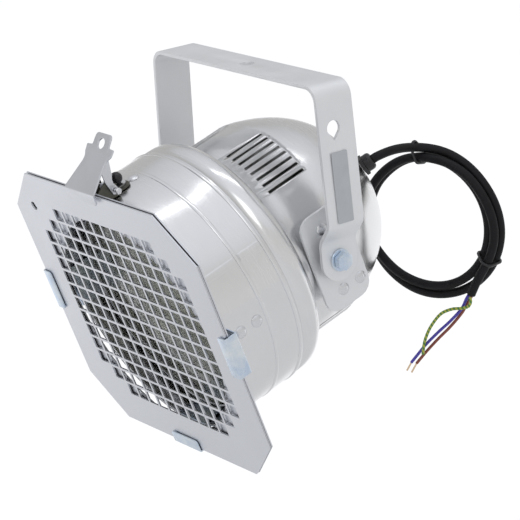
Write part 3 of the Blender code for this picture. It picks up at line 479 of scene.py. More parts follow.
def dress(material, *nodes):
    """Give CAD nodes that stay in view a better material."""
    for node in nodes:
        mesh = frame["nodes"][node].data
        mesh.materials.clear()
        mesh.materials.append(material)


def arc(centre, radius, start, end, count):
    angles = [math.radians(start + (end - start) * i / count) for i in range(count + 1)]
    return [(centre[0] + radius * math.cos(a), centre[1] + radius * math.sin(a)) for a in angles]


def rounded_box(x0, x1, y0, y1, radius, count=6):
    return (arc((x1 - radius, y1 - radius), radius, 0, 90, count)
            + arc((x0 + radius, y1 - radius), radius, 90, 180, count)
            + arc((x0 + radius, y0 + radius), radius, 180, 270, count)
            + arc((x1 - radius, y0 + radius), radius, 270, 360, count))


def revolve(profile, angles, closed=True):
    """A surface turned round Z from (radius, height) points, at the given angles."""
    bm = bmesh.new()
    rows = []
    for angle in angles:
        rows.append([bm.verts.new((r * math.cos(angle), r * math.sin(angle), h)) for r, h in profile])
    count = len(profile)
    for row, following in zip(rows, rows[1:] + rows[:1]):
        for i in range(count if closed else count - 1):
            j = (i + 1) % count
            bm.faces.new((row[i], row[j], following[j], following[i]))
    bmesh.ops.remove_doubles(bm, verts=bm.verts, dist=1e-6)
    bmesh.ops.dissolve_degenerate(bm, edges=bm.edges, dist=1e-6)
    return bm


def even_angles(count=SEGMENTS):
    return [2 * math.pi * i / count for i in range(count)]


UP_TO_Y = Matrix.Rotation(-math.pi / 2, 4, "X")


def turned(name, profile, matrix, steps=SEGMENTS, closed=True, smooth=35):
    """A turned solid in a frame whose Z is its axis."""
    return finish_mesh(revolve(profile, even_angles(steps), closed), name, matrix, smooth)


def tube_mesh(name, points, radius, matrix=None, sides=16):
    """A round tube along points, with closed, flat ends."""
    path = [Vector(p) for p in points]
    bm = bmesh.new()
    side = None
    rings = []
    for i, point in enumerate(path):
        ahead = (path[min(i + 1, len(path) - 1)] - path[max(i - 1, 0)]).normalized()
        side = ahead.orthogonal() if side is None else side - ahead * side.dot(ahead)
        side.normalize()
        other = ahead.cross(side)
        ring = [point + radius * (side * math.cos(a) + other * math.sin(a)) for a in even_angles(sides)]
        rings.append([bm.verts.new(p) for p in ring])
    for ring, following in zip(rings, rings[1:]):
        for i in range(sides):
            j = (i + 1) % sides
            bm.faces.new((ring[i], ring[j], following[j], following[i]))
    bm.faces.new(rings[0])
    bm.faces.new(rings[-1])
    return finish_mesh(bm, name, matrix, 50)


def path_length(points):
    return sum((b - a).length for a, b in zip(points, points[1:]))


def smooth_path(points, step):
    """Points about step apart on a smooth curve through the given ones."""
    knots = [Vector(p) for p in points]
    knots = [2 * knots[0] - knots[1]] + knots + [2 * knots[-1] - knots[-2]]
    result = []
    for before, start, end, after in zip(knots, knots[1:], knots[2:], knots[3:]):
        pieces = max(1, round((end - start).length / step))
        for i in range(pieces):
            t = i / pieces
            bend = 2 * before - 5 * start + 4 * end - after
            twist = 3 * start - before - 3 * end + after
            result.append((2 * start + (end - before) * t + bend * t ** 2 + twist * t ** 3) / 2)
    return result + [knots[-2]]


def filled(outlines):
    """A flat bmesh in XY: the first outline is the edge, the others are holes."""
    curve = bpy.data.curves.new("outline", "CURVE")
    curve.dimensions = "2D"
    curve.fill_mode = "BOTH"
    for outline in outlines:
        spline = curve.splines.new("POLY")
        spline.points.add(len(outline) - 1)
        for point, (x, y) in zip(spline.points, outline):
            point.co = (x, y, 0, 1)
        spline.use_cyclic_u = True
    holder = bpy.data.objects.new("outline", curve)
    bpy.context.scene.collection.objects.link(holder)
    graph = bpy.context.evaluated_depsgraph_get()
    mesh = bpy.data.meshes.new_from_object(holder.evaluated_get(graph))
    bpy.data.objects.remove(holder)
    bpy.data.curves.remove(curve)
    bm = bmesh.new()
    bm.from_mesh(mesh)
    bpy.data.meshes.remove(mesh)
    bmesh.ops.remove_doubles(bm, verts=bm.verts, dist=1e-6)
    return bm


def rounded_route(corners, radius, count=8):
    """A 2D polyline with every inner corner rounded by an arc."""
    points = [Vector(c) for c in corners]
    route = [points[0]]
    for before, corner, after in zip(points, points[1:], points[2:]):
        a = (before - corner).normalized()
        b = (after - corner).normalized()
        half = a.angle(b) / 2
        shorter = min((before - corner).length, (after - corner).length)
        reach = min(radius / math.tan(half), shorter * 0.49)
        fit = reach * math.tan(half)
        centre = corner + (a + b).normalized() * fit / math.sin(half)
        first = corner + a * reach - centre
        turn = first.angle_signed(corner + b * reach - centre)
        for i in range(count + 1):
            route.append(centre + Matrix.Rotation(-turn * i / count, 2) @ first)
    return route + [points[-1]]


def formed_sheet(name, outlines, route, matrix):
    """Sheet metal: a flat pattern in (length, width), bent along a 2D route.

    The route's plane becomes XZ and the width runs along Y.
    """
    bm = filled(outlines)
    marks = [0.0]
    for a, b in zip(route, route[1:]):
        marks.append(marks[-1] + (b - a).length)
    for mark in marks[1:-1]:
        geometry = bm.verts[:] + bm.edges[:] + bm.faces[:]
        bmesh.ops.bisect_plane(bm, geom=geometry, plane_co=(mark, 0, 0), plane_no=(1, 0, 0), dist=1e-6)
    for vert in bm.verts:
        s = min(max(vert.co.x, 0.0), marks[-1])
        i = max(k for k in range(len(marks) - 1) if marks[k] <= s)
        share = (s - marks[i]) / (marks[i + 1] - marks[i])
        x, z = route[i].lerp(route[i + 1], share)
        vert.co = Vector((x, vert.co.y, z))
    bmesh.ops.transform(bm, matrix=matrix, verts=bm.verts)
    mesh = bpy.data.meshes.new(name)
    bm.to_mesh(mesh)
    bm.free()
    mesh.shade_smooth()
    mesh.set_sharp_from_angle(angle=math.radians(50))
    return mesh


def thicken(obj, thickness, offset=-1.0, bevel=0.0003):
    """Give a sheet its gauge, to its back for -1 and to its front for 1."""
    solid = obj.modifiers.new("sheet", "SOLIDIFY")
    solid.thickness = thickness
    solid.offset = offset
    solid.use_even_offset = True
    soften(obj, bevel)
    return obj


def soften(obj, width=0.0003, segments=2):
    bevel = obj.modifiers.new("edges", "BEVEL")
    bevel.width = width
    bevel.segments = segments
    bevel.limit_method = "ANGLE"
    bevel.angle_limit = math.radians(50)
    bevel.use_clamp_overlap = True
    return obj


def slab(outlines, thickness, matrix, name):
    """A flat plate of some thickness, its middle plane in XY of the matrix."""
    bm = filled(outlines)
    bmesh.ops.translate(bm, vec=(0, 0, -thickness / 2), verts=bm.verts)
    grown = bmesh.ops.extrude_face_region(bm, geom=bm.faces[:])
    moved = [g for g in grown["geom"] if isinstance(g, bmesh.types.BMVert)]
    bmesh.ops.translate(bm, vec=(0, 0, thickness), verts=moved)
    return finish_mesh(bm, name, matrix, 30)


def circle(radius, steps=48, centre=(0, 0), start=0.0):
    return [(centre[0] + radius * math.cos(start + 2 * math.pi * i / steps),
             centre[1] + radius * math.sin(start + 2 * math.pi * i / steps)) for i in range(steps)]


def facing(place, direction):
    """A frame at place whose Z points along direction."""
    return Matrix.Translation(place) @ Vector(direction).to_track_quat("Z", "Y").to_matrix().to_4x4()


def around(angle):
    """The can's frame turned so that its X points at an angle round the axis."""
    return CAN @ Matrix.Rotation(-angle, 4, "Y")


TO_XZ = Matrix.Rotation(math.pi / 2, 4, "X")
TO_YZ = Matrix(((0, 0, 1, 0), (1, 0, 0, 0), (0, 1, 0, 0), (0, 0, 0, 1)))


# ------------------------------------------------------------------ cable
COIL_TURNS = 2.33
COIL_START = math.radians(87)
LEAD_ROUTE = [(-0.0136, 0.0698, 0.0475), (-0.0108, 0.0706, 0.0425), (-0.0089, 0.0706, 0.0360),
              (-0.0073, 0.0701, 0.0290), (-0.0060, 0.0689, 0.0215), (-0.0044, 0.0674, 0.0145),
              (-0.0025, 0.0659, 0.0080), (0.0003, 0.0648, 0.0030)]
COIL_LANES = [(0.00, 0.0642, -0.0008), (0.12, 0.0644, -0.0018), (0.26, 0.0655, -0.0038),
              (0.40, 0.0645, -0.0036), (0.51, 0.0642, -0.0018), (0.63, 0.0632, -0.0032),
              (0.70, 0.0608, -0.0040), (0.78, 0.0575, -0.0040), (0.88, 0.0545, -0.0038),
              (1.00, 0.0556, -0.0024), (1.12, 0.0560, -0.0008), (1.26, 0.0562, 0.0000),
              (1.51, 0.0563, 0.0003), (1.63, 0.0566, 0.0022), (1.70, 0.0580, 0.0040),
              (1.78, 0.0572, 0.0046), (1.88, 0.0556, 0.0054), (2.00, 0.0578, 0.0066),
              (2.12, 0.0620, 0.0062), (2.26, 0.0640, 0.0046), (2.33, 0.0634, 0.0075)]
TAIL_ROUTE = [(0.0505, -0.0378, 0.0100), (0.0475, -0.0440, 0.0108), (0.0450, -0.0490, 0.0108),
              (0.0418, -0.0555, 0.0105)]
WIRE_ROUTES = {
    "earth": [(0.0416, -0.0575, 0.0126), (0.0424, -0.0606, 0.0130), (0.0403, -0.0653, 0.0132),
              (0.0336, -0.0678, 0.0134), (0.0241, -0.0697, 0.0132), (0.0133, -0.0753, 0.0128),
              (0.0040, -0.0862, 0.0126), (-0.0014, -0.0957, 0.0126), (-0.0044, -0.1041, 0.0128),
              (-0.0060, -0.1130, 0.0130)],
    "blue": [(0.0394, -0.0565, 0.0104), (0.0366, -0.0608, 0.0102), (0.0316, -0.0697, 0.0100),
             (0.0204, -0.0816, 0.0100), (0.0083, -0.0928, 0.0100), (-0.0040, -0.1050, 0.0100),
             (-0.0134, -0.1160, 0.0100), (-0.0193, -0.1230, 0.0100)],
    "brown": [(0.0412, -0.0577, 0.0084), (0.0358, -0.0655, 0.0070), (0.0293, -0.0753, 0.0068),
              (0.0181, -0.0881, 0.0068), (0.0059, -0.1002, 0.0068), (-0.0055, -0.1123, 0.0070),
              (-0.0160, -0.1244, 0.0070)],
}
WIRE_TIPS = {"blue": (-0.0242, -0.1309, 0.0100), "brown": (-0.0215, -0.1333, 0.0070)}
WIRE_COLOURS = {"earth": ((0.07, 0.22, 0.04), (0.42, 0.44, 0.06)), "blue": ((0.07, 0.05, 0.42), None),
                "brown": ((0.28, 0.07, 0.04), None)}


def dome_radius(t):
    return HOUSING_R * (1 - t ** DOME_FULLNESS) ** DOME_POWER


def gland_frame():
    """The gland's frame on the dome, with Z along the cable."""
    r = dome_radius(GLAND_T)
    slope = (dome_radius(GLAND_T + 0.001) - dome_radius(GLAND_T - 0.001)) / (0.002 * DOME_LENGTH)
    radial = Vector((math.cos(GLAND_ANGLE), 0, math.sin(GLAND_ANGLE)))
    normal = (radial - Vector((0, 1, 0)) * slope).normalized()
    place = radial * r + Vector((0, DOME_Y + DOME_LENGTH * GLAND_T, 0))
    return CAN @ facing(place, normal)


def lane(turn):
    """Radius and depth of the cable's centre after some turns of the coil."""
    for (start, r0, z0), (end, r1, z1) in zip(COIL_LANES, COIL_LANES[1:]):
        if turn <= end:
            share = (turn - start) / (end - start)
            share = share * share * (3 - 2 * share)
            return r0 + (r1 - r0) * share, z0 + (z1 - z0) * share
    return COIL_LANES[-1][1:]


def coil_points():
    """The wound turns, clockwise from the lead, each turn in its own lane."""
    count = round(COIL_TURNS * 40)
    points = []
    for i in range(1, count + 1):
        turn = COIL_TURNS * i / count
        angle = COIL_START - 2 * math.pi * turn
        radius, depth = lane(turn)
        points.append((radius * math.cos(angle), radius * math.sin(angle), depth))
    return points


def relaxed(points, step, passes):
    """The same line in even steps, with its corners eased the way a sheathed cable bends."""
    points = [Vector(p) for p in points]
    total = sum((b - a).length for a, b in zip(points, points[1:]))
    count = round(total / step)
    line = [points[0]]
    i = 0
    passed = 0.0
    for k in range(1, count):
        while passed + (points[i + 1] - points[i]).length < total * k / count:
            passed += (points[i + 1] - points[i]).length
            i += 1
        share = (total * k / count - passed) / (points[i + 1] - points[i]).length
        line.append(points[i].lerp(points[i + 1], share))
    line.append(points[-1])
    for _ in range(passes):
        line = line[:2] + [(a + 2 * b + c) / 4 for a, b, c in zip(line[1:], line[2:], line[3:])] + line[-1:]
    return line


def conductor(name):
    """One core from the sheath's end, with its bared tip where that shows."""
    colour, stripe = WIRE_COLOURS[name]
    line = [COIL @ p for p in smooth_path(WIRE_ROUTES[name], 0.0025)]
    wire = piece(f"conductor_{name}", tube_mesh(f"conductor_{name}", line, WIRE_D / 2, sides=12),
                 insulation(f"insulation_{name}", colour, stripe), "can", f"wire_{name}", f"wire_{name}")
    if name in WIRE_TIPS:
        end = COIL @ Vector(WIRE_TIPS[name])
        core = tube_mesh(f"copper_{name}", [line[-1], end], WIRE_D * 0.3, sides=10)
        piece(f"copper_{name}", core, bare_copper(), "can", "brass")


def cable(rubber, plastic):
    """The sheathed cable in one line from the gland to its bare end, its cores and its ties."""
    gland_end = COIL.inverted() @ (gland_frame() @ Vector((0, 0, GLAND_TOP + GAP)))
    straight = COIL.inverted() @ (gland_frame() @ Vector((0, 0, GLAND_TOP + GAP + 0.004)))
    route = [gland_end, straight] + LEAD_ROUTE + coil_points() + TAIL_ROUTE
    points = [COIL @ p for p in relaxed(route, 0.003, 14)]
    obj = piece("cable", tube_mesh("cable", points, CABLE_D / 2, sides=20), rubber, "can", "cable_rubber",
                "cable_lead", "cable_coil", "cable_tail")
    for name in WIRE_ROUTES:
        conductor(name)
    ties = [cable_tie(name, angle, points, plastic) for name, angle in TIE_ANGLES.items()]


def cable_tie(name, angle, points, plastic):
    """A thin strap pulled tight round the bundle, where it crosses an angle of the coil."""
    turn = COIL @ Matrix.Rotation(angle, 4, "Z")
    local = [turn.inverted() @ p for p in points]
    outline = []
    for a, b in zip(local, local[1:]):
        if a.x > 0 and (a.y > 0) != (b.y > 0):
            crossing = a.lerp(b, a.y / (a.y - b.y))
            outline += circle(CABLE_D / 2 + TIE_R - 0.0001, 24, (crossing.x, crossing.z))
    loop = [Vector((outline[i][0], 0, outline[i][1])) for i in convex_hull_2d(outline)]
    return piece(name, tube_mesh(name, loop + loop[:2], TIE_R, turn, 8), plastic, "can", "black_plastic",
                 f"cable_{name}")


# ------------------------------------------------------------------ shells
def bead(radius, y, height, half=0.0016):
    """A smooth raised bead, seen from the rear forwards."""
    return [(radius + height * math.sin(math.pi * i / 8), y + half * math.cos(math.pi * i / 8))
            for i in range(9)]


def front_barrel(metal):
    """Rolled barrel: two beads and a curled front rim."""
    curl = arc((BARREL_R - 0.0010, RIM_Y + 0.0010), 0.0010, 0, -180, 6)
    outer = [(BARREL_R, JOINT_Y)] + bead(BARREL_R, *REAR_BEAD) + bead(BARREL_R, *FRONT_BEAD) + curl
    inner = [(BARREL_R - WALL, RIM_Y + 0.0030), (BARREL_R - WALL, JOINT_Y)]
    piece("barrel", turned("barrel", outer + inner, CAN @ UP_TO_Y), metal, "can", "polished_shell",
          "front_barrel")


def slot_edges():
    """The (start, end) angles of every ventilation slot, in degrees."""
    half = math.degrees(SLOT_W / 2 / HOUSING_R)
    middle = (SLOTS_PER_GROUP - 1) / 2
    centres = [group + (i - middle) * SLOT_PITCH for group in SLOT_GROUPS for i in range(SLOTS_PER_GROUP)]
    return [(c - half, c + half) for c in centres]


def rear_housing(metal):
    """Ring, shoulder, slotted cylinder and dome, spun from one sheet."""
    slots = slot_edges()
    marks = {round(edge, 4) for pair in slots for edge in pair}
    for i in range(SEGMENTS):
        angle = 360 * i / SEGMENTS
        if all(not low - 0.7 < angle < high + 0.7 for low, high in slots):
            marks.add(round(angle, 4))
    degrees = sorted(marks)
    dome = [(dome_radius(t), DOME_Y + DOME_LENGTH * t)
            for t in [math.sin(math.pi / 2 * i / 40) for i in range(40, 0, -1)]]
    shoulder = arc((RING_R - SHOULDER_R, SHOULDER_END_Y - SHOULDER_R), SHOULDER_R, 90, 0, 12)
    fillet = arc((HOUSING_R + 0.0015, SHOULDER_END_Y + 0.0015), 0.0015, 180, 270, 4)
    profile = (dome + [(HOUSING_R, SLOT_REAR), (HOUSING_R, SLOT_FRONT)] + fillet + shoulder
               + [(RING_R, JOINT_Y + GAP)])
    bm = revolve(profile, [math.radians(d) for d in degrees], closed=False)
    middles = [math.radians((low + high) / 2) for low, high in slots]
    opened = []
    for face in bm.faces:
        centre = face.calc_center_median()
        angle = math.atan2(centre.y, centre.x) % (2 * math.pi)
        in_slot = any(abs(angle - m) < math.radians(0.3) for m in middles)
        if in_slot and SLOT_FRONT < centre.z < SLOT_REAR:
            opened.append(face)
    bmesh.ops.delete(bm, geom=opened, context="FACES")
    mesh = finish_mesh(bm, "housing", CAN @ UP_TO_Y @ Matrix.Scale(-1, 4, (0, 1, 0)), 40)
    mesh.flip_normals()
    obj = piece("housing", mesh, metal, "can", "polished_shell", "rear_housing")
    solid = obj.modifiers.new("wall", "SOLIDIFY")
    solid.thickness = WALL
    solid.offset = -1


def barrel_seam(metal):
    """The lapped, spot-welded joint along the barrel."""
    bm = bmesh.new()
    low, high = [math.radians(angle) for angle in SEAM_ANGLES]
    count = 4
    for y0, y1 in SEAM_SPANS_Y:
        for i in range(count):
            a0 = low + (high - low) * i / count
            a1 = low + (high - low) * (i + 1) / count
            corners = [(a0, y0), (a1, y0), (a1, y1), (a0, y1)]
            r = BARREL_R + 0.0001
            bm.faces.new([bm.verts.new((r * math.cos(a), y, r * math.sin(a))) for a, y in corners])
    bmesh.ops.remove_doubles(bm, verts=bm.verts, dist=1e-6)
    mesh = finish_mesh(bm, "barrel_seam", CAN, 30)
    thicken(piece("barrel_seam", mesh, metal, "can", "polished_shell"), 0.0004, 1.0, 0.0001)


# ------------------------------------------------------------------ fasteners
def rivet(name, matrix, metal, *nodes, radius=0.0052, height=0.0021):
    """A snap head, its edge softly lifted from the sheet."""
    cap_r = (radius ** 2 + height ** 2) / (2 * height)
    top = [(cap_r * math.sin(a), height - cap_r * (1 - math.cos(a)))
           for a in [math.asin(radius / cap_r) * i / 8 for i in range(9)]]
    profile = top + [(radius, GAP * 0.5), (0, GAP * 0.5)]
    piece(name, turned(name, profile, matrix, 28, False, 60), metal, "can", "rivet_steel", *nodes)


def all_rivets(metal):
    """The heads on the barrel over each clip, and on the two side brackets."""
    for clip_name, angle in (("right", 0), ("left", math.pi), ("bottom", 1.5 * math.pi)):
        for i, y in enumerate(CLIP_RIVETS_Y):
            place = Vector((BARREL_R * math.cos(angle), y, BARREL_R * math.sin(angle)))
            out = Vector((math.cos(angle), 0, math.sin(angle)))
            rivet(f"head_{clip_name}_{i + 1}", CAN @ facing(place, out), metal,
                  f"clip_{clip_name}_rivet_{i + 1}")
    for side, tag in ((-1, "left"), (1, "right")):
        index = 0
        for y in BRACKET_RIVETS_Y:
            for z in BRACKET_RIVETS_Z:
                index += 1
                place = Vector((side * (BRACKET_X + BRACKET_T), y, z))
                rivet(f"head_bracket_{tag}_{index}", CAN @ facing(place, (side, 0, 0)), metal,
                      f"bracket_{tag}_rivet_{index}")


def hexagon(radius_flat):
    """A hexagon with its flats at radius_flat from the middle."""
    return circle(radius_flat / math.cos(math.pi / 6), 6)


def pivot_hardware(zinc):
    """Hex-headed bolts and their washers on the yoke's arms."""
    for side, tag in ((-1, "left"), (1, "right")):
        face = Matrix.Translation(PIVOT) @ Matrix.Rotation(side * math.pi / 2, 4, "Y")
        head_x = YOKE_END_X + 2 * GAP + WASHER_T
        chamfer = [(0, BOLT_HEAD), (0.0056, BOLT_HEAD), (BOLT_R, BOLT_HEAD - 0.0010), (BOLT_R, 0.0), (0, 0)]
        bm = revolve(chamfer, even_angles(48), False)
        for i in range(6):
            a = math.pi / 6 + math.pi / 3 * i
            normal = Vector((math.cos(a), math.sin(a), 0))
            cut = bmesh.ops.bisect_plane(bm, geom=bm.verts[:] + bm.edges[:] + bm.faces[:],
                                         plane_co=normal * BOLT_FLAT, plane_no=normal, clear_outer=True)
            edges = [g for g in cut["geom_cut"] if isinstance(g, bmesh.types.BMEdge)]
            bmesh.ops.edgeloop_fill(bm, edges=edges)
        mesh = finish_mesh(bm, f"bolt_{tag}", face @ Matrix.Translation((0, 0, head_x)), 25)
        piece(f"bolt_{tag}", mesh, zinc, "yoke", "zinc_steel", f"pivot_bolt_{tag}")
        low = YOKE_END_X + GAP
        high = low + WASHER_T
        washer = [(WASHER_R - 0.0002, high), (WASHER_R, high - 0.0002), (WASHER_R, low),
                  (WASHER_HOLE_R, low), (WASHER_HOLE_R, high)]
        piece(f"washer_{tag}", turned(f"washer_{tag}", washer, face, 48), zinc, "yoke", "zinc_steel",
              f"pivot_washer_{tag}")


# ------------------------------------------------------------------ formed sheet pieces
def clip(tag, angle, reach, zinc):
    """A zinc-plated channel that holds the frame's edge, riveted inside the barrel."""
    leg_x = BARREL_R - WALL - CLIP_SETBACK
    edge_x = reach + CLIP_SETBACK
    back_y = RIM_Y - 0.0004
    corners = [(leg_x, CLIP_LEG_END), (leg_x, back_y), (edge_x, back_y), (edge_x, CLIP_FRONT),
               (edge_x - CLIP_LIP, CLIP_FRONT)]
    route = rounded_route(corners, CLIP_BEND, 5)
    total = path_length(route)
    half = CLIP_W / 2
    pattern = [(0, -half), (total - CLIP_CHAMFER, -half), (total, CLIP_CHAMFER - half),
               (total, half - CLIP_CHAMFER), (total - CLIP_CHAMFER, half), (0, half)]
    swing = around(angle) @ TO_XZ.inverted()
    mesh = formed_sheet(f"channel_{tag}", [pattern], route, swing)
    thicken(piece(f"channel_{tag}", mesh, zinc, "can", "zinc_steel", f"clip_{tag}"), SHEET, -1.0, 0.0002)


def flap(sheet_metal):
    """The latch's hooked sheet with its waist, shoulders and finger tab."""
    along = Vector((math.cos(LATCH_LEAN), math.sin(LATCH_LEAN)))
    top = LATCH_BASE + along * LATCH_SLOPE
    tab_end = top + Vector((math.cos(LATCH_TAB_LEAN), math.sin(LATCH_TAB_LEAN))) * LATCH_TAB
    corners = [(LATCH_BASE.x, LATCH_LIP_Z), tuple(LATCH_BASE), tuple(top), tuple(tab_end)]
    route = rounded_route(corners, 0.0016, 6)
    total = path_length(route)
    hook = 0.0078
    half = LATCH_HALF_W
    waist = [(0.0225, -0.0154), (0.0240, -0.0150), (0.0275, -0.0150), (0.0295, -0.0158)]
    shoulder = [(0.0325, -0.0180), (0.0380, -0.0184), (0.0386, -0.0176), (0.0390, -0.0118),
                (0.0400, -0.0112)]
    tab = [(0.0030, -0.0108), (0.0010, -0.0099), (0, -0.0078)]
    outline = [(0, 0.002 - half), (0.002, -half), (hook + 0.0015, -half)]
    outline += [(hook + s, t) for s, t in waist + shoulder] + [(total - s, t) for s, t in tab]
    outline += [(s, -t) for s, t in reversed(outline)]
    hole = circle(LATCH_TAB_HOLE_R, 28, (total - LATCH_TAB + LATCH_TAB_HOLE_AT, 0.0))
    mesh = formed_sheet("flap", [outline, hole], route, CAN @ TO_YZ @ TO_XZ.inverted())
    obj = piece("flap", mesh, sheet_metal, "latch", "frame_sheet", "latch_flap")
    thicken(obj, SHEET, 1.0, 0.0002)
    return along


def latch(sheet_metal, steel, black, shade_steel):
    """The flap, its ears, the bracket's cheeks, the hinge pin, the spring and the knob."""
    along = flap(sheet_metal)
    pin = (LATCH_PIN.y, LATCH_PIN.z)
    inward = Vector((-along.y, along.x)) * SHEET / 2
    ear = [tuple(LATCH_BASE + along * reach + inward) for reach in LATCH_EAR_TOP] + LATCH_EAR
    for side, tag in ((-1, "left"), (1, "right")):
        place = CAN @ Matrix.Translation((side * LATCH_EAR_X, 0, 0)) @ TO_YZ
        mesh = slab([ear, circle(0.0018, 20, pin)], SHEET, place, f"flap_ear_{tag}")
        soften(piece(f"flap_ear_{tag}", mesh, sheet_metal, "latch", "frame_sheet"), 0.0002)
        place = CAN @ Matrix.Translation((side * LATCH_CHEEK_X, 0, 0)) @ TO_YZ
        cheek = slab([LATCH_CHEEK], SHEET, place, f"bracket_cheek_{tag}")
        # The cheeks take the dark olive steel: painted shade of the hollow under the flap.
        soften(piece(f"bracket_cheek_{tag}", cheek, shade_steel, "can", "rivet_steel"), 0.0002)
    half_rod = [(0, 0.0205), (0.0020, 0.0205), (0.0026, 0.0200), (0.0026, 0.0190), (0.0015, 0.0190)]
    rod = half_rod + [(r, -h) for r, h in reversed(half_rod)]
    pin_frame = CAN @ facing(LATCH_PIN, (1, 0, 0))
    piece("hinge_pin", turned("hinge_pin", rod, pin_frame, 24, False), steel, "can", "rivet_steel",
          "latch_pin")

    floor_z = BARREL_R + 0.0004 + SHEET + GAP
    washer_t = 0.0010
    ring = [(0.0060, washer_t), (0.0060, 0), (0.0023, 0), (0.0023, washer_t)]
    place = CAN @ Matrix.Translation((0, KNOB_Y, floor_z))
    piece("washer", turned("washer", ring, place, 36), steel, "can", "rivet_steel", "latch_washer")
    ball = arc((0, KNOB_R), KNOB_R, 90, -62, 18)
    stem = [(0.0020, GAP), (0.0020, -0.0080), (0, -0.0080)]
    knob = [(0, ball[0][1])] + ball[1:] + [(ball[-1][0], GAP)] + stem
    place = CAN @ Matrix.Translation((0, KNOB_Y, floor_z + washer_t))
    piece("knob", turned("knob", knob, place, 36, False), black, "can", "black_plastic", "latch_knob")
    rivet("head_latch", CAN @ facing((0, LATCH_RIVET_Y, BARREL_R), (0, 0, 1)), steel)

    turns, steps, pitch, radius = 4, 16, 0.0013, 0.0027
    coil = []
    for i in range(turns * steps + 1):
        a = 2 * math.pi * i / steps + math.pi / 3
        coil.append(Vector(((i / steps - turns / 2) * pitch, radius * math.cos(a), radius * math.sin(a))))
    line = [coil[0] + Vector((0, 0.005, 0.002))] + coil + [coil[-1] + Vector((0, 0.007, 0.0045))]
    spring = tube_mesh("spring", line, 0.00045, CAN @ Matrix.Translation(LATCH_PIN), 8)
    piece("spring", spring, steel, "can", "rivet_steel", "latch_spring")


def yoke_route():
    """The strip's outer face in the XZ plane, from one arm's end to the other's."""
    shoulder_x = YOKE_TOP_X - YOKE_SPLAY * (PIVOT.z + YOKE_STEP_TOP)
    corner = (YOKE_TOP_X, 0)
    right = [(YOKE_END_X, PIVOT.z - YOKE_W / 2), (YOKE_END_X, PIVOT.z + YOKE_STEP_END),
             (shoulder_x, PIVOT.z + YOKE_STEP_TOP), corner]
    left = [(-x, z) for x, z in right]
    lower = rounded_route(left[:3] + [(-YOKE_TOP_X - 0.001, -0.05)], YOKE_STEP_BEND, 8)[:-1]
    upper_right = rounded_route([(YOKE_TOP_X + 0.001, -0.05)] + right[:3][::-1], YOKE_STEP_BEND, 8)[1:]
    crown = rounded_route([(-YOKE_TOP_X - 0.001, -0.05), (-YOKE_TOP_X, 0), (YOKE_TOP_X, 0),
                           (YOKE_TOP_X + 0.001, -0.05)], YOKE_BEND, 12)[1:-1]
    return lower + crown + upper_right


def yoke(metal):
    """One bent strip with round ends, pivot holes, hanging hole and a keyhole."""
    route = yoke_route()
    total = path_length(route)
    end = YOKE_W / 2
    pattern = arc((total - end, 0), end, -90, 90, 24) + arc((end, 0), end, 90, 270, 24)
    across, down = KEYHOLE_AT
    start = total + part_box("yoke")[0].z - down
    point = [(start + 0.0092, across - 0.0006), (start + 0.0096, across), (start + 0.0092, across + 0.0006)]
    keyhole = arc((start, across), KEYHOLE_R, 45, 315, 24) + point
    holes = [circle(YOKE_PIVOT_HOLE_R, 32, (end, 0)), circle(YOKE_PIVOT_HOLE_R, 32, (total - end, 0)),
             circle(YOKE_HOLE_R, 40, (total / 2, 0)), keyhole]
    mesh = formed_sheet("hanger", [pattern] + holes, route, Matrix.Identity(4))
    thicken(piece("hanger", mesh, metal, "yoke", "yoke_metal", "yoke"), YOKE_T, -1.0, 0.0004)


def label(paper):
    """A blank sticker on the outside of the right arm."""
    y, z = LABEL_AT
    x = YOKE_TOP_X - YOKE_SPLAY * z + 0.0004
    lean = Matrix.Rotation(-math.atan(YOKE_SPLAY), 4, "Y")
    place = Matrix.Translation((x, y, z)) @ lean @ TO_YZ
    half_w, half_h = LABEL_HALF
    outline = rounded_box(-half_w, half_w, -half_h, half_h, 0.0012)
    piece("sticker", slab([outline], LABEL_T, place, "sticker"), paper, "yoke", "label", "blank_label")


# ------------------------------------------------------------------ gland and lamp
def gland(black):
    """A hexagon against the dome and a domed cap round the cable."""
    place = gland_frame()
    hole = CABLE_D / 2 + GAP
    middle = place @ Matrix.Translation((0, 0, GLAND_FOOT + GLAND_NUT / 2))
    nut = slab([hexagon(GLAND_NUT_FLAT), circle(hole, 32)], GLAND_NUT, middle, "gland_nut")
    soften(piece("gland_nut", nut, black, "can", "black_plastic", "gland_body"), 0.0004)
    low = GLAND_FOOT + GLAND_NUT + GAP
    high = low + GLAND_CAP
    round_r = 0.0028
    shoulder = arc((GLAND_CAP_R - round_r, high - round_r), round_r, 90, 0, 6)
    cap = shoulder + [(GLAND_CAP_R, low), (hole, low), (hole, high)]
    piece("gland_dome", turned("gland_dome", cap, place, 40), black, "can", "black_plastic", "gland_cap")


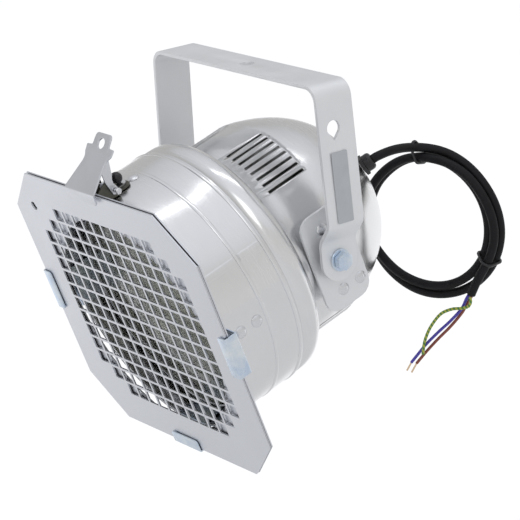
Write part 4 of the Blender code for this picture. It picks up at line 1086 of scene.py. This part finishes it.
def lamp(glass, mirror):
    """A sealed beam lamp: a pressed lens on a deep silvered bowl."""
    crown = LENS_RIM_Y - LENS_CROWN
    count = 24
    shares = [i / count for i in range(count + 1)]
    front = [(LENS_R * share, crown + LENS_RISE * share ** 2.4) for share in shares]
    back = [(0.0960 * share, crown + LENS_T + LENS_RISE * share ** 2.4) for share in shares]
    lens = back + [(0.0965, LENS_RIM_Y), (LENS_R, LENS_RIM_Y)] + front[::-1]
    piece("lens", turned("lens", lens, CAN @ UP_TO_Y, 96, False), glass, "can", "lamp_glass", "lamp_lens")
    low = (BOWL_NECK_R / BOWL_R) ** 2
    depth = BOWL_END_Y - LENS_RIM_Y - 0.0020
    bowl = []
    for share in shares:
        r = BOWL_NECK_R + (BOWL_R - BOWL_NECK_R) * share
        bowl.append((r, BOWL_END_Y - depth * ((r / BOWL_R) ** 2 - low) / (1 - low)))
    outer = bowl + [(LENS_R, LENS_RIM_Y + GAP + 0.0030), (LENS_R, LENS_RIM_Y + GAP)]
    inner = [(r - 0.0022, y - 0.0012) for r, y in bowl[::-1]]
    inner[0] = (0.0950, LENS_RIM_Y + GAP)
    piece("reflector", turned("reflector", outer + inner, CAN @ UP_TO_Y, 96), mirror, "can", "lamp_mirror",
          "lamp_reflector")


# ------------------------------------------------------------------ stage
def stage():
    """A pale paper floor with painted light: its glow grows away from the lights, so the floor reads evenly
    white.
    """
    bm = bmesh.new()
    bmesh.ops.create_grid(bm, x_segments=1, y_segments=1, size=12)
    mesh = bpy.data.meshes.new("floor")
    bm.to_mesh(mesh)
    bm.free()
    g = Graph("floor_paper", (0.62, 0.62, 0.62), 0.9)
    x, y, _ = g.add("SeparateXYZ", {0: g.place()}).outputs
    depth = g.math("ADD", g.math("MULTIPLY", x, -0.82), g.math("MULTIPLY", y, 0.57))
    # Painted light: emission on the floor, stronger the further it lies from the camera and the lights.
    g.shader.inputs["Emission Color"].default_value = (1, 1, 1, 1)
    g.feed("Emission Strength", g.span(depth, 0.22, 0.56, 0.30, 0.55))
    mesh.materials.append(g.material)
    floor = bpy.data.objects.new("floor", mesh)
    floor.location.z = CAD_BOX[0].z - FLOOR_DROP
    bpy.context.scene.collection.objects.link(floor)


def area_light(name, size, place, target, power):
    data = bpy.data.lights.new(name, "AREA")
    data.shape = "RECTANGLE"
    data.size, data.size_y = size
    data.energy = power
    obj = bpy.data.objects.new(name, data)
    bpy.context.scene.collection.objects.link(obj)
    place = Vector(place)
    aim = (Vector(target) - place).to_track_quat("-Z", "Y")
    obj.matrix_world = Matrix.Translation(place) @ aim.to_matrix().to_4x4()


def sky():
    """A soft studio: grey at the horizon, brighter overhead and on the right."""
    world = bpy.data.worlds.new("studio")
    bpy.context.scene.world = world
    world.use_nodes = True
    tree = world.node_tree
    background = tree.nodes["Background"]
    place = tree.nodes.new("ShaderNodeTexCoord")
    parts = tree.nodes.new("ShaderNodeSeparateXYZ")
    tree.links.new(place.outputs["Generated"], parts.inputs[0])
    ramp = tree.nodes.new("ShaderNodeValToRGB")
    ramp.color_ramp.elements[0].position = 0.0
    ramp.color_ramp.elements[0].color = (0.66, 0.655, 0.65, 1)
    ramp.color_ramp.elements[1].position = 1.0
    ramp.color_ramp.elements[1].color = (0.86, 0.87, 0.91, 1)
    for position, colour in ((0.45, (0.60, 0.595, 0.585, 1)), (0.62, (0.72, 0.73, 0.76, 1))):
        ramp.color_ramp.elements.new(position).color = colour
    tree.links.new(parts.outputs["Z"], ramp.inputs[0])
    side = tree.nodes.new("ShaderNodeMapRange")
    side.inputs[1].default_value = -0.8
    side.inputs[2].default_value = 0.8
    side.inputs[3].default_value = 0.86
    side.inputs[4].default_value = 1.1
    tree.links.new(parts.outputs["X"], side.inputs[0])
    tree.links.new(ramp.outputs["Color"], background.inputs["Color"])
    tree.links.new(side.outputs[0], background.inputs["Strength"])


def lights():
    """The sky, a strip above for the long highlight, and one wide soft light."""
    sky()
    area_light("overhead_strip", (0.12, 1.6), (0.06, 0.20, 1.40), (0, 0, 0), 1.4)
    area_light("front_right", (1.2, 1.2), (1.5, -1.7, 1.3), (0, 0, -0.15), 5)
    bpy.context.scene.view_settings.view_transform = "Standard"


# ------------------------------------------------------------------ build
camera()
METAL = spun_aluminium()
SHEET_METAL = satin_sheet()
YOKE_METAL = yoke_metal()
ZINC = zinc_plate()
STEEL = bright_steel()
BLACK = black_plastic()
SHADE_STEEL = painted_shade_steel()
cable(cable_rubber(), BLACK)
front_barrel(METAL)
rear_housing(METAL)
barrel_seam(METAL)
all_rivets(STEEL)
pivot_hardware(ZINC)
clip("right", 0, FRAME_RIGHT, ZINC)
clip("left", math.pi, FRAME_LEFT, ZINC)
clip("bottom", 1.5 * math.pi, FRAME_LOW, ZINC)
latch(SHEET_METAL, STEEL, BLACK, SHADE_STEEL)
yoke(YOKE_METAL)
label(sticker())
gland(BLACK)
lamp(lens_glass(), silvering())
dress(SHEET_METAL, "guard_sheet", "frame_back_sheet", "frame_channel", "lamp_seat_ring")
dress(YOKE_METAL, "bracket_left", "bracket_right")
dress(ZINC, "pivot_nut_left", "pivot_nut_right")
dress(STEEL, "lamp_retaining_ring")
# The latch bracket takes the dark olive steel: painted shade of the hollow under the flap.
dress(SHADE_STEEL, "latch_bracket")
dress(BLACK, "friction_washer_left", "friction_washer_right", "gland_locknut")
dress(ceramic(), "lamp_cap", "lamp_socket")
dress(brass(), "lamp_prong_1", "lamp_prong_2")
stage()
lights()
